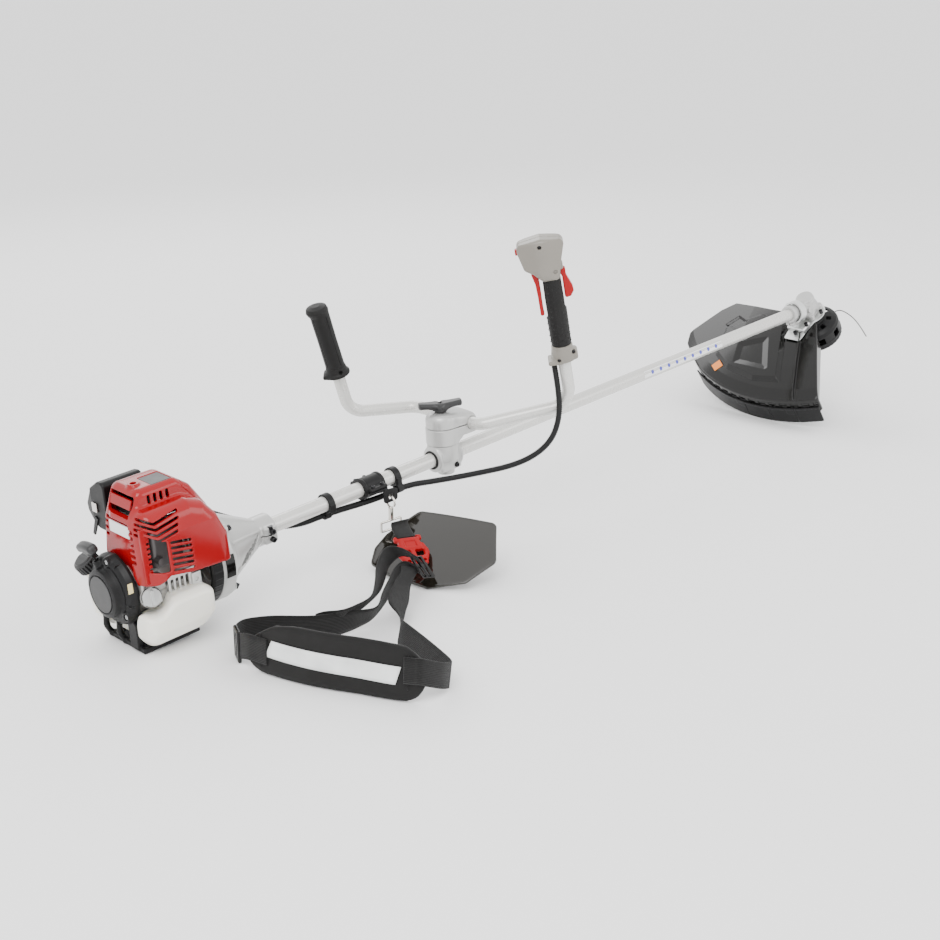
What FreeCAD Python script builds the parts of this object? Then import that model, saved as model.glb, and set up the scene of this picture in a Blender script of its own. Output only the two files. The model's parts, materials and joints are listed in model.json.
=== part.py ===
"""Four-stroke string trimmer with bike handles, as a parametric assembly of separate pieces.

The machine is drawn in its own frame, in millimetres: X runs along the main tube from the engine to
the cutting head, Y is the machine's left and Z is up from the bottom of the skid, with x = 0 at the
middle of the crankcase. The machine stands on the rear edge of its skid and on its guard, so the whole
of it is tilted a few degrees onto the floor at z = 0. The harness hangs beside it and lies on that floor.
"""
import FreeCAD, Part
import math
import os
import re
import Sketcher
from FreeCAD import Placement, Rotation, Vector

# Driving dimensions, in millimetres and degrees.
SIZES = (
    ("tilt", 4.59, "rise of the tube when the machine stands on skid and guard"),
    ("middle", 860.5, "distance from the crankcase to the middle of the standing machine"),
    ("side_shift", 74.6, "sideways distance from the tube to the middle of machine and harness"),
    ("axis_height", 95, "height of the crank and tube axis above the skid"),
    ("tube_diameter", 26, "main tube"),
    ("tube_wall", 1.5, "main tube"),
    ("tube_start", 186, "end of the tube inside the clutch housing"),
    ("tube_end", 1700, "end of the tube inside the gear case"),
    ("shaft_diameter", 8, "drive shaft"),
    ("running_gap", 0.05, "radial clearance of a turning fit"),
    ("liner_diameter", 12, "plastic liner around the drive shaft"),
    ("crank_radius", 6, "main journals"),
    ("crank_web", 22, "radius of the crank webs"),
    ("case_radius", 46, "outside of the crankcase"),
    ("case_rear", -44, "rear wall of the crankcase"),
    ("case_front", 46, "front wall of the crankcase"),
    ("bore_radius", 19.5, "cylinder bore"),
    ("fin_width", 62, "square cooling fins"),
    ("fin_pitch", 8, "cooling fins"),
    ("cylinder_base", 135, "bottom of the cylinder"),
    ("cylinder_top", 205, "top of the cylinder"),
    ("fan_radius", 50, "flywheel fan"),
    ("fan_ring", 75, "outside of the fan cover"),
    ("recoil_radius", 56, "recoil starter cover"),
    ("pulley_radius", 26, "recoil pulley"),
    ("drum_radius", 30, "clutch drum"),
    ("shoe_radius", 26, "clutch shoes"),
    ("wall", 2.5, "plastic covers"),
    ("cap_radius", 19, "fuel cap"),
    ("oil_cap_radius", 14, "oil filler cap"),
    ("post_x", 609, "handle post along the tube"),
    ("post_radius", 27.5, "handle post"),
    ("post_seam", 120, "height of the swivel joint of the handle"),
    ("bar_height", 150, "middle of the handlebar in its clamp"),
    ("bar_x", 653, "middle of the handlebar along the tube"),
    ("bar_diameter", 22, "handlebar"),
    ("bar_wall", 2, "handlebar"),
    ("bar_bend", 34, "bend radius of the handlebar"),
    ("grip_radius", 17, "rubber grips"),
    ("conduit_diameter", 10, "corrugated conduit of throttle cable and switch wires"),
    ("eyelet_x", 458, "harness eyelet along the tube"),
    ("eyelet_radius", 5, "hole for the snap hook"),
    ("ring_radius", 10, "loop of the snap hook"),
    ("ring_wire", 2, "radius of the hook's wire"),
    ("strap_width", 40, "harness webbing"),
    ("strap_thickness", 2.4, "harness webbing"),
    ("pad_height", 84, "shoulder pad"),
    ("pad_thickness", 11, "shoulder pad"),
    ("gear_x", 1739, "crossing of tube axis and output axis"),
    ("output_angle", 58, "angle between tube and output shaft"),
    ("guard_wall", 2.6, "guard"),
    ("guard_bottom", 86, "lower edge of the guard's outer wall, below the tube axis along the output axis"),
    ("guard_side", 60, "lower edge of the guard's side walls, measured the same way"),
    ("skirt_bottom", 115.8, "lower edge of the clip-on skirt, measured the same way"),
    ("head_radius", 54, "trimmer head"),
    ("line_diameter", 2.4, "cutting line"),
)
ALIASES = [row[0] for row in SIZES]

doc = FreeCAD.newDocument("BikeHandleTrimmer")
sheet = doc.addObject("Spreadsheet::Sheet", "Sizes")
for row, (alias, number, note) in enumerate(SIZES, start=1):
    sheet.set("A%d" % row, alias)
    sheet.set("B%d" % row, str(number))
    sheet.set("C%d" % row, note)
    sheet.setAlias("B%d" % row, alias)
doc.recompute()

ALONG_X = Rotation(Vector(0, 1, 0), 90)
UPRIGHT = Rotation()
SUBPARTS = []


# ---------------------------------------------------------------- helpers

def size(alias):
    """A driving dimension as a number."""
    return float(sheet.get(alias))


def bound(expression):
    """An expression with its aliases written as references into the sheet."""
    def reference(match):
        word = match.group(0)
        return "Sizes." + word if word in ALIASES else word
    return re.sub(r"[a-z_]+", reference, str(expression))


def unit(x, y, z):
    return Vector(x, y, z).normalize()


AXIS = size("axis_height")
HALF_TUBE = size("tube_diameter") / 2
SLOPE = math.radians(size("output_angle"))
DOWN_OUT = Vector(math.cos(SLOPE), 0, -math.sin(SLOPE))
BACK = Vector(-math.sin(SLOPE), 0, -math.cos(SLOPE))
LEFT = Vector(0, 1, 0)
UP = Vector(0, 0, 1)

# The skid's rear edge is the lowest point of the tilted engine, so the machine is lifted by that much.
SKID_REAR = -52
TILT = Rotation(Vector(0, 1, 0), -size("tilt"))
LIFT = -TILT.multVec(Vector(SKID_REAR, 0, 0)).z
POSE = Placement(Vector(-size("middle"), size("side_shift"), LIFT), TILT)
FLOOR = Placement(Vector(-size("middle"), size("side_shift"), 0), UPRIGHT)


# ---------------------------------------------------------------- places on the machine

OIL_FILLER = Placement(Vector(-27, -40, 87), Rotation(Vector(0, 0, 1), unit(-0.28, -0.92, 0.28)))
STARTER_PULL = unit(-0.35, 0.2, 0.91)
STARTER_AT = Vector(-71, 22, 150)
FUEL_AXIS = unit(-0.52, 0.12, 0.85)
FUEL_NECK = Vector(-34, 72, 84)

# Level sections of the tank and of the engine's top cover: x0, x1, y0, y1, z and corner radius.
TANK = ((-40, 34, -62, 56, 10, 12), (-52, 48, -82, 74, 26, 16), (-57, 59, -90, 84, 44, 18),
        (-57, 60, -90, 86, 78, 16), (-44, 54, -86, 82, 94, 12))
TOP_COVER = (
    (-46, 112, -88, 43, 112, 22), (-45, 117, -90, 43, 140, 22), (-42, 108, -88, 42, 180, 22),
    (-36, 84, -74, 39, 214, 22), (-26, 58, -56, 35, 238, 22), (-20, 46, -48, 30, 250, 20))

POST = size("post_x")
BAR_X = size("bar_x")
BAR_Z = size("bar_height")
BAR_POINTS = (
    Vector(499.5, 175, 357.5), Vector(548, 175, 156), Vector(BAR_X, 112, BAR_Z), Vector(BAR_X, -49, BAR_Z),
    Vector(779, -150, 175), Vector(735, -150, 446))
LEFT_AXIS = (BAR_POINTS[0] - BAR_POINTS[1]).normalize()
RIGHT_AXIS = (BAR_POINTS[5] - BAR_POINTS[4]).normalize()
TRIGGER_SIDE = unit(-0.71, 0.70, 0)
CONDUIT_ROUTE = (
    Vector(754, -137, 250), Vector(755, -144, 212), Vector(746, -154, 158), Vector(723, -148, 114),
    Vector(678, -120, 86), Vector(609, -66, 75), Vector(549, -36, 75), Vector(503, -17, 78),
    Vector(450, -4, 68), Vector(345, 3, 75), Vector(290, 12, 70), Vector(240, 42, 78),
    Vector(192, 66, 104), Vector(140, 74, 138), Vector(98, 75, 152), Vector(62, 70, 156))

EYELET = Vector(size("eyelet_x"), -28, 76)
GEAR = Vector(size("gear_x"), 0, AXIS)
LINE_OUT = (LEFT * -0.21 - BACK * 0.98).normalize()


def on_axis(x):
    """A place on the crank and tube axis whose Z axis runs along the tube."""
    return Placement(Vector(x, 0, AXIS), ALONG_X)


def facing(origin, z_axis, x_axis):
    """A place whose Z axis is z_axis and whose X axis lies towards x_axis."""
    z_axis = Vector(z_axis).normalize()
    y_axis = z_axis.cross(Vector(x_axis)).normalize()
    return Placement(Vector(origin), Rotation(y_axis.cross(z_axis), y_axis, z_axis, "ZXY"))


def place(x, y, z, rotation=UPRIGHT):
    return Placement(Vector(x, y, z), rotation)


def primitive(kind, where, **sizes):
    """A Part primitive whose sizes are bound to the sheet."""
    solid = doc.addObject("Part::" + kind, kind)
    for field, expression in sizes.items():
        solid.setExpression(field, bound(expression))
    solid.Placement = where
    return solid


def rod(where, radius, length):
    return primitive("Cylinder", where, Radius=radius, Height=length)


def block(where, length, width, height):
    return primitive("Box", where, Length=length, Width=width, Height=height)


def centred_block(x, y, z, length, width, height):
    return block(place(x - length / 2, y - width / 2, z), length, width, height)


def fuse(*solids):
    result = doc.addObject("Part::MultiFuse", "Fuse")
    result.Shapes = list(solids)
    return result


def cut(base, *tools):
    result = doc.addObject("Part::Cut", "Cut")
    result.Base = base
    result.Tool = tools[0] if len(tools) == 1 else fuse(*tools)
    return result


def origin_plane(body, role):
    return next(feature for feature in body.Origin.OriginFeatures if feature.Role == role)


def outline_sketch(body, role, points):
    """A closed sketch through points whose coordinates are expressions over the sheet."""
    sketch = body.newObject("Sketcher::SketchObject", "Outline")
    sketch.AttachmentSupport = [(origin_plane(body, role), "")]
    sketch.MapMode = "FlatFace"
    count = len(points)
    guess = [Vector(50 * math.cos(6.2832 * i / count), 50 * math.sin(6.2832 * i / count), 0)
             for i in range(count)]
    for i in range(count):
        sketch.addGeometry(Part.LineSegment(guess[i], guess[(i + 1) % count]), False)
    for i in range(count):
        sketch.addConstraint(Sketcher.Constraint("Coincident", i, 2, (i + 1) % count, 1))
    for i, pair in enumerate(points):
        for kind, start, expression in zip(("DistanceX", "DistanceY"), guess[i], pair):
            index = sketch.addConstraint(Sketcher.Constraint(kind, -1, 1, i, 1, start))
            name = "%s_%d" % (kind, i)
            sketch.renameConstraint(index, name)
            sketch.setExpression("Constraints." + name, bound(expression))
    return sketch


def turned(points, angle=360):
    """A body turned about its Z axis from an outline of (radius, height) points."""
    body = doc.addObject("PartDesign::Body", "Turned")
    sketch = outline_sketch(body, "XZ_Plane", points)
    turn = body.newObject("PartDesign::Revolution", "Turn")
    turn.Profile = sketch
    turn.ReferenceAxis = (sketch, ["V_Axis"])
    turn.setExpression("Angle", bound(angle))
    return body


def plate(points, thickness):
    """A body padded up from an outline in its XY plane."""
    body = doc.addObject("PartDesign::Body", "Plate")
    sketch = outline_sketch(body, "XY_Plane", points)
    pad = body.newObject("PartDesign::Pad", "Thickness")
    pad.Profile = sketch
    pad.setExpression("Length", bound(thickness))
    return body


def placed(solid, where):
    solid.Placement = where
    return solid


def shaped(shape):
    """A feature that holds a shape made with Part's own functions."""
    feature = doc.addObject("Part::Feature", "Shaped")
    feature.Shape = shape
    return feature


def subpart(label, solid, frame=POSE):
    """Name a finished piece and set it into the standing machine."""
    solid.Label = label
    solid.Placement = frame.multiply(solid.Placement)
    SUBPARTS.append(solid)
    return solid


def rounded_wire(x0, x1, y0, y1, z, radius):
    """A closed rectangle with round corners, level at height z."""
    corners = ((x0, y0), (x1, y0), (x1, y1), (x0, y1))
    edges = []
    for i in range(4):
        here = Vector(corners[i][0], corners[i][1], z)
        after = Vector(corners[(i + 1) % 4][0], corners[(i + 1) % 4][1], z)
        last = Vector(corners[(i + 2) % 4][0], corners[(i + 2) % 4][1], z)
        along = (after - here).normalize()
        turn = (last - after).normalize()
        start = here + along * radius
        end = after - along * radius
        middle = after - (along - turn) * radius * (1 - math.sqrt(0.5))
        edges.append(Part.makeLine(start, end))
        edges.append(Part.Arc(end, middle, after + turn * radius).toShape())
    return Part.Wire(edges)


def stacked(sections):
    """A solid lofted through level rounded rectangles (x0, x1, y0, y1, z, radius)."""
    return Part.makeLoft([rounded_wire(*section) for section in sections], True, True)


def inset(sections, gap):
    """The same sections, drawn in by a wall and lowered by it at the top."""
    inner = []
    for x0, x1, y0, y1, z, radius in sections:
        inner.append((x0 + gap, x1 - gap, y0 + gap, y1 - gap, z, max(radius - gap, 1)))
    top = inner[-1]
    inner[-1] = top[:4] + (top[4] - gap,) + top[5:]
    return inner


def bend_path(points, radii):
    """Straight runs joined by tangent arcs, one radius for each inner point."""
    edges = []
    start = points[0]
    for before, corner, after, radius in zip(points, points[1:], points[2:], radii):
        inward = (before - corner).normalize()
        outward = (after - corner).normalize()
        half = inward.getAngle(outward) / 2
        setback = radius / math.tan(half)
        centre = corner + (inward + outward).normalize() * (radius / math.sin(half))
        entry = corner + inward * setback
        leave = corner + outward * setback
        middle = centre + (corner - centre).normalize() * radius
        edges.append(Part.makeLine(start, entry))
        edges.append(Part.Arc(entry, middle, leave).toShape())
        start = leave
    edges.append(Part.makeLine(start, points[-1]))
    return Part.Wire(edges)


def cord_radii(points):
    """The largest tangent arc at each inner point: 0.45 of the shorter run over tan(half the turn)."""
    radii = []
    for before, corner, after in zip(points, points[1:], points[2:]):
        first = corner - before
        second = after - corner
        turn = first.getAngle(second)
        radii.append(0.45 * min(first.Length, second.Length) / math.tan(turn / 2))
    return radii


def tube_along(path, radius):
    """A round solid swept along a wire."""
    start = path.Edges[0]
    direction = start.tangentAt(start.FirstParameter)
    section = Part.Wire(Part.makeCircle(radius, start.valueAt(start.FirstParameter), direction))
    return path.makePipeShell([section], True, False)


def flexible(points, radius, name):
    """A cord's solid, with its length and bends printed for checking."""
    radii = cord_radii(points)
    path = bend_path(points, radii)
    solid = tube_along(path, radius)
    ratio = solid.Volume / (math.pi * radius ** 2 * path.Length)
    print("%s: length %.1f, volume over section times length %.4f" % (name, path.Length, ratio))
    print("%s: arc radii %s" % (name, " ".join("%.0f" % value for value in radii)))
    return solid


# ---------------------------------------------------------------- tube and drive line

def make_tube():
    length = "tube_end - tube_start"
    start = size("tube_start")
    subpart("outer_tube", cut(
        rod(on_axis(start), "tube_diameter / 2", length),
        rod(on_axis(start), "tube_diameter / 2 - tube_wall", length)))


def make_liner():
    start = size("tube_start") + 4
    length = size("tube_end") - size("tube_start") - 12
    collar = 10
    step = (length - collar) / 5
    rings = [rod(on_axis(start + step * i), "tube_diameter / 2 - tube_wall", collar) for i in range(6)]
    subpart("shaft_liner", cut(
        fuse(rod(on_axis(start), "liner_diameter / 2", length), *rings),
        rod(on_axis(start), "shaft_diameter / 2 + running_gap", length)))


def make_drive_line():
    drum = [("shaft_diameter / 2", 156), ("drum_radius - 2.5", 156), ("drum_radius - 2.5", 130),
            ("drum_radius", 130), ("drum_radius", 160), (8, 160), (8, 176), ("shaft_diameter / 2", 176)]
    subpart("clutch_drum", placed(turned(drum), on_axis(0)))
    start = 156
    subpart("drive_shaft", rod(on_axis(start), "shaft_diameter / 2", "gear_x - 14 - %d" % start))
    cone = [(0, -14), (4, -14), (8.4, -9.4), (5.2, -6.2), (0, -6.2)]
    subpart("drive_pinion", placed(turned(cone), on_axis(size("gear_x"))))


# ---------------------------------------------------------------- engine

def make_crankcase():
    case = fuse(rod(on_axis(size("case_rear")), "case_radius", "case_front - case_rear"),
                centred_block(2, 0, AXIS, 68, 68, size("cylinder_base") - AXIS),
                rod(OIL_FILLER, "oil_cap_radius + 1", 26))
    subpart("crankcase", cut(
        case,
        centred_block(0, 0, size("cylinder_base"), 120, 120, 20),
        rod(on_axis(-38), "case_radius - 10", 78),
        rod(on_axis(size("case_rear")), "crank_radius + running_gap", 6),
        rod(on_axis(40), "crank_radius + running_gap", 6),
        rod(place(2, 0, AXIS), "bore_radius", "cylinder_base - axis_height"),
        rod(OIL_FILLER, "oil_cap_radius - 3.5", 26)))


def make_cylinder():
    base = size("cylinder_base")
    fins = [centred_block(2, 0, base + 6 + size("fin_pitch") * i, size("fin_width"), size("fin_width"), 2)
            for i in range(7)]
    subpart("cylinder_block", cut(
        fuse(rod(place(2, 0, base), "bore_radius + 7", "cylinder_top - cylinder_base"), *fins),
        rod(place(2, 0, base), "bore_radius", "cylinder_top - cylinder_base - 8")))
    lid = stacked(((-20, 32, -28, 28, 205.2, 8), (-20, 32, -28, 28, 220, 8), (-16, 28, -24, 24, 227, 8)))
    subpart("rocker_cover", shaped(lid))
    crown = [(0, 172), ("bore_radius - running_gap", 172), ("bore_radius - running_gap", 146),
             ("bore_radius - 3", 146), ("bore_radius - 3", 168), (0, 168)]
    subpart("piston", placed(turned(crown), place(2, 0, 0)))


def make_crank():
    radius = "crank_radius"
    subpart("crankshaft", fuse(
        rod(on_axis(-50), radius, 38),
        rod(on_axis(-12), "crank_web", 7),
        rod(Placement(Vector(-6, 0, AXIS + 14), ALONG_X), 5, 16),
        rod(on_axis(9), "crank_web", 7),
        rod(on_axis(15), radius, 133)))


def make_flywheel():
    hub = rod(on_axis(76), 16, 26)
    disc = rod(on_axis(92), "fan_radius - 2", 3)
    blades = []
    for i in range(12):
        turn = Rotation(Vector(1, 0, 0), 30 * i)
        offset = turn.multVec(Vector(0, -1, 14))
        blades.append(block(Placement(Vector(78, 0, AXIS) + offset, turn), 15, 2, "fan_radius - 15"))
    subpart("flywheel_fan", cut(fuse(hub, disc, *blades), rod(on_axis(76), "crank_radius", 26)))


def make_clutch_shoes():
    slot_low = block(place(132, -27, AXIS - 1.5), 16, 15, 3)
    slot_high = block(place(132, 12, AXIS - 1.5), 16, 15, 3)
    subpart("clutch_shoes", cut(
        rod(on_axis(132), "shoe_radius", 14),
        rod(on_axis(132), "crank_radius", 14), slot_low, slot_high))


def make_recoil():
    cover = [("recoil_radius", 1.5), ("recoil_radius - 1", 8), ("recoil_radius - 7", 17), (40, 26),
             (33, 30), (31, 33.5), (0, 33.5), (0, 8), (6, 8), (6, 30.5), (28, 30.5), (30, 27.5), (37.5, 23.5),
             (46, 15), (52.5, 7), (53.5, 1.5)]
    rear = Placement(Vector(size("case_rear") - 2, 0, AXIS), Rotation(Vector(0, 1, 0), -90))
    shell = placed(turned(cover), rear)
    hole = rod(facing((-66, 18, 124), STARTER_PULL, LEFT), 4, 30)
    subpart("recoil_cover", cut(shell, hole))
    groove = [("crank_radius + running_gap", 12), ("pulley_radius", 12), ("pulley_radius", 14),
              ("pulley_radius - 5", 16), ("pulley_radius", 18), ("pulley_radius", 20),
              ("crank_radius + running_gap", 20)]
    subpart("recoil_pulley", placed(turned(groove), rear))


def make_starter_grip():
    handle = placed(plate(((-23, -5), (-20, -8), (20, -8), (23, -5), (23, 5), (20, 8), (-20, 8), (-23, 5)), 13),
                    facing(STARTER_AT + STARTER_PULL * 8, STARTER_PULL, LEFT))
    neck = rod(facing(STARTER_AT, STARTER_PULL, LEFT), 6, 10)
    subpart("starter_grip", fuse(handle, neck))


def make_top_cover():
    outer = stacked(TOP_COVER)
    wall = size("wall") + 0.5
    inner = stacked(inset(TOP_COVER, wall))
    below = Part.makeBox(160, 200, 5, Vector(-50, -100, 108))
    ring = Part.makeCylinder(size("fan_ring") + 0.4, 60, Vector(66, 0, AXIS), Vector(1, 0, 0))
    recoil = Part.makeCylinder(size("recoil_radius") + 1, 12, Vector(-50, 0, AXIS), Vector(1, 0, 0))
    case = Part.makeCylinder(size("case_radius") + 1, 100, Vector(-50, 0, AXIS), Vector(1, 0, 0))
    window = Part.makeBox(34, 24, 42, Vector(-36, -94, 132))
    louvres = [Part.makeBox(26, 24, 4, Vector(6, -94, 134 + 9 * i)) for i in range(6)]
    rear_slots = [Part.makeBox(12, 60, 5, Vector(-50, -38, 176 + 12 * i)) for i in range(4)]
    left_gap = Part.makeBox(76, 30, 78, Vector(-30, 30, 112))
    cuts = [inner, below, ring, recoil, case, window, left_gap] + louvres + rear_slots
    subpart("top_cover", shaped(outer.cut(cuts)))


def make_fan_cover():
    ring = [("fan_ring - 3", 68), ("fan_ring", 68), ("fan_ring", 104), ("fan_ring - 8", 112), (40, 112),
            (40, 109), ("fan_ring - 9", 109), ("fan_ring - 3", 103)]
    subpart("fan_cover", placed(turned(ring), on_axis(0)))


def make_clutch_housing():
    cone = [(62, 112), (60, 124), (46, 152), (31, 178), (23, 192), (22, 223),
            ("tube_diameter / 2 + 0.02", 223), ("tube_diameter / 2 + 0.02", 176), (8.05, 176), (8.05, 164),
            (34, 164), (40, 150), (54, 126), (54, 112)]
    lug = centred_block(209, -26, AXIS - 9, 26, 14, 18)
    slit = block(place(194, -40, AXIS - 1), 40, 27, 2)
    hole = rod(place(209, -27, AXIS - 14), 3.1, 30)
    bore = rod(on_axis(190), "tube_diameter / 2 + 0.02", 40)
    subpart("clutch_housing", cut(fuse(placed(turned(cone), on_axis(0)), lug), slit, hole, bore))
    subpart("clamp_bolt", fuse(rod(place(209, -27, AXIS - 12), 3, 21), rod(place(209, -27, AXIS + 9), 5, 6)))


def make_muffler():
    box = stacked(((-24, 30, -67, -32, 136, 8), (-24, 30, -67, -32, 190, 8)))
    pipe = Part.makeCylinder(6, 14, Vector(-16, -78, 148), LEFT)
    subpart("muffler", shaped(box.fuse(pipe)))


def make_carburetor():
    throat = rod(place(12, 40, 150, Rotation(Vector(1, 0, 0), -90)), 12, 42)
    flange = block(place(-8, 48, 134), 40, 30, 31)
    pump = block(place(-10, 60, 116), 26, 18, 24)
    bore = rod(place(12, 40, 150, Rotation(Vector(1, 0, 0), -90)), 8, 42)
    recess = rod(facing((3, 70, 128), LEFT, UP), 9.3, 10)
    subpart("carburetor", cut(fuse(throat, flange, pump), bore, recess))
    bulb = [(0, 0), (9, 0), (9, 4), (6, 9), (0, 11)]
    subpart("primer_bulb", placed(turned(bulb), facing((3, 78.3, 128), LEFT, UP)))
    pivot = facing((32.3, 60, 146), (1, 0, 0), (0, 0, -1))
    arm = placed(plate(((-4, -4), (22, -3), (22, 3), (-4, 4)), 2.5), pivot)
    subpart("throttle_cam", fuse(arm, rod(pivot, 5, 5)))


def make_air_cleaner():
    case = stacked(((-24, 42, 62, 84, 166, 10), (-24, 42, 62, 84, 244, 10)))
    hollow = stacked(((-21, 39, 65, 86, 169, 8), (-21, 39, 65, 86, 241, 8)))
    duct = Part.makeCylinder(9, 30, Vector(12, 73, 142), Vector(0, 0, 1))
    subpart("air_cleaner_case", shaped(case.cut(hollow).cut(duct)))
    lid = stacked(((-25, 43, 84.3, 104, 163, 9), (-25, 43, 84.3, 104, 246, 9)))
    room = stacked(((-22, 40, 82, 101, 166, 8), (-22, 40, 82, 101, 243, 8)))
    subpart("air_cleaner_cover", shaped(lid.cut(room)))
    pivot = facing((-24.2, 74, 176), (-1, 0, 0), (0, 0.5, -1))
    lever = placed(plate(((-4, -4), (30, -2.5), (30, 2.5), (-4, 4)), 2.5), pivot.multiply(place(0, 0, 1.3)))
    subpart("choke_lever", fuse(lever, rod(pivot, 3.5, 3.8)))


def tank_block(gap):
    """The saddle tank around the crankcase, drawn in by a gap for its inside."""
    lowest = TANK[0]
    sections = inset(TANK, gap)
    sections[0] = sections[0][:4] + (lowest[4] + gap,) + sections[0][5:]
    body = stacked(sections)
    saddle = Part.makeCylinder(size("case_radius") + 2 + gap, 140, Vector(-70, 0, AXIS), Vector(1, 0, 0))
    filler_room = Part.makeBox(65 + gap, 62, 60, Vector(-74, -100, 66 - gap))
    recoil_room = Part.makeCylinder(size("recoil_radius") + 3 + gap, 30, Vector(-74, 0, AXIS), Vector(1, 0, 0))
    prong_room = Part.makeBox(30 + gap, 92 + 2 * gap, 64 + gap, Vector(-70, -46 - gap, -4))
    return body.cut([saddle, filler_room, recoil_room, prong_room])


def make_tank():
    neck = Part.makeCylinder(15, 34, FUEL_NECK, FUEL_AXIS)
    bore = Part.makeCylinder(12, 50, FUEL_NECK - FUEL_AXIS * 12, FUEL_AXIS)
    outside = tank_block(0).fuse(neck)
    subpart("fuel_tank", shaped(outside.cut([tank_block(size("wall")), bore])))
    cap = [(0, 34.3), (15.5, 34.3), (15.5, 26), ("cap_radius", 26), ("cap_radius", 44),
           ("cap_radius - 3", 47), (0, 47)]
    subpart("fuel_cap", placed(turned(cap), facing(FUEL_NECK, FUEL_AXIS, LEFT)))


def make_oil_cap():
    stem = [(0, -10), ("oil_cap_radius - 4", -10), ("oil_cap_radius - 4", 0.3), ("oil_cap_radius", 0.3),
            ("oil_cap_radius", 6), (0, 6)]
    where = OIL_FILLER.multiply(place(0, 0, 26))
    bar = placed(block(place(0, 0, 0), 24, 4, 8), where.multiply(place(-12, -2, 5.5)))
    subpart("oil_cap", fuse(placed(turned(stem), where), bar))


def make_skid():
    base = block(place(SKID_REAR + 7, -47, 0), 90, 94, 3)
    rear = block(place(SKID_REAR + 7, -40, 0), 3, 80, 16)
    front = placed(plate(((0, 0), (22, 18), (22, 22), (-3, 3)), 60),
                   Placement(Vector(42, 30, 0), Rotation(Vector(1, 0, 0), 90)))
    prongs = [block(place(SKID_REAR, y, 0), 4, 10, 46) for y in (-38, 28)]
    feet = [block(place(SKID_REAR, y, 0), 10, 10, 4) for y in (-38, 28)]
    subpart("tank_guard", fuse(base, rear, front, *(prongs + feet)))


# ---------------------------------------------------------------- handle

def make_handle_post():
    saddle = fuse(rod(on_axis(POST - 26), "tube_diameter / 2 + 8", 52),
                  rod(place(POST, 0, AXIS), "post_radius", "post_seam - axis_height"),
                  centred_block(POST, 0, AXIS - 24, 44, 30, 12),
                  rod(place(POST, 0, AXIS + 10), 10, 31))
    bore = rod(on_axis(POST - 30), "tube_diameter / 2 + 0.02", 60)
    thread = rod(place(POST, 0, AXIS + 14), 4.2, 40)
    subpart("handle_clamp", cut(saddle, bore, thread))


def nose(height, thickness):
    """The pear-shaped plan of the handle holder: round post at the back, wide bar clamp in front."""
    points = ((-20, -18), (0, -27), (28, -31), (56, -31), (60, -24), (60, 24), (56, 31), (28, 31), (0, 27),
              (-20, 18))
    return placed(plate(points, thickness), place(POST, 0, height))


def make_handle_holder():
    seam = size("post_seam") + 0.3
    split = BAR_Z - 0.3
    groove = rod(place(BAR_X, 60, BAR_Z, Rotation(Vector(1, 0, 0), 90)), "bar_diameter / 2 + 0.02", 120)
    lower = fuse(rod(place(POST, 0, seam), "post_radius", split - seam), nose(BAR_Z - 17, 17 - 0.3))
    subpart("handle_holder", cut(
        lower, groove, rod(place(POST, 0, seam - 1), 10.05, 21.5), rod(place(POST, 0, seam), 4.2, 40)))
    top = stacked(((POST - 27, BAR_X + 16, -31, 31, BAR_Z + 0.3, 26),
                   (POST - 26, BAR_X + 15, -30, 30, BAR_Z + 18, 26),
                   (POST - 20, BAR_X + 6, -24, 24, BAR_Z + 27, 22)))
    bar = Part.makeCylinder(size("bar_diameter") / 2 + 0.02, 120, Vector(BAR_X, -60, BAR_Z), LEFT)
    screw = Part.makeCylinder(4.2, 60, Vector(POST, 0, BAR_Z - 5), UP)
    subpart("handle_cap", shaped(top.cut([bar, screw])))


def make_handle_knob():
    wing = plate(((-40, -4), (-36, -7), (-12, -8), (0, -10), (12, -8), (36, -7), (40, -4), (40, 4), (36, 7),
                  (12, 8), (0, 10), (-12, 8), (-36, 7), (-40, 4)), 9)
    turn = Rotation(UP, -32)
    top = BAR_Z + 27.3
    subpart("handle_knob", fuse(
        rod(place(POST, 0, AXIS + 20), 4, top - AXIS - 20), rod(place(POST, 0, top), 10, 12),
        placed(wing, place(POST, 0, top + 9, turn))))


def make_handlebar():
    radius = size("bar_diameter") / 2
    tight = size("bar_bend") - 4
    path = bend_path(BAR_POINTS, [size("bar_bend"), tight, tight, size("bar_bend")])
    outside = tube_along(path, radius)
    subpart("handlebar", shaped(outside.cut(tube_along(path, radius - size("bar_wall")))))


def along(base, axis, distance):
    return facing(base + axis * distance, axis, TRIGGER_SIDE)


def make_left_grip():
    sleeve = [("bar_diameter / 2", 0), ("grip_radius + 7", 0), ("grip_radius + 7", 9),
              ("grip_radius", 14), ("grip_radius", 120), ("grip_radius + 3", 126), ("grip_radius + 3", 138),
              (0, 138), (0, 133), ("bar_diameter / 2", 133)]
    subpart("left_grip", placed(turned(sleeve), along(BAR_POINTS[1], LEFT_AXIS, 76)))


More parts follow.
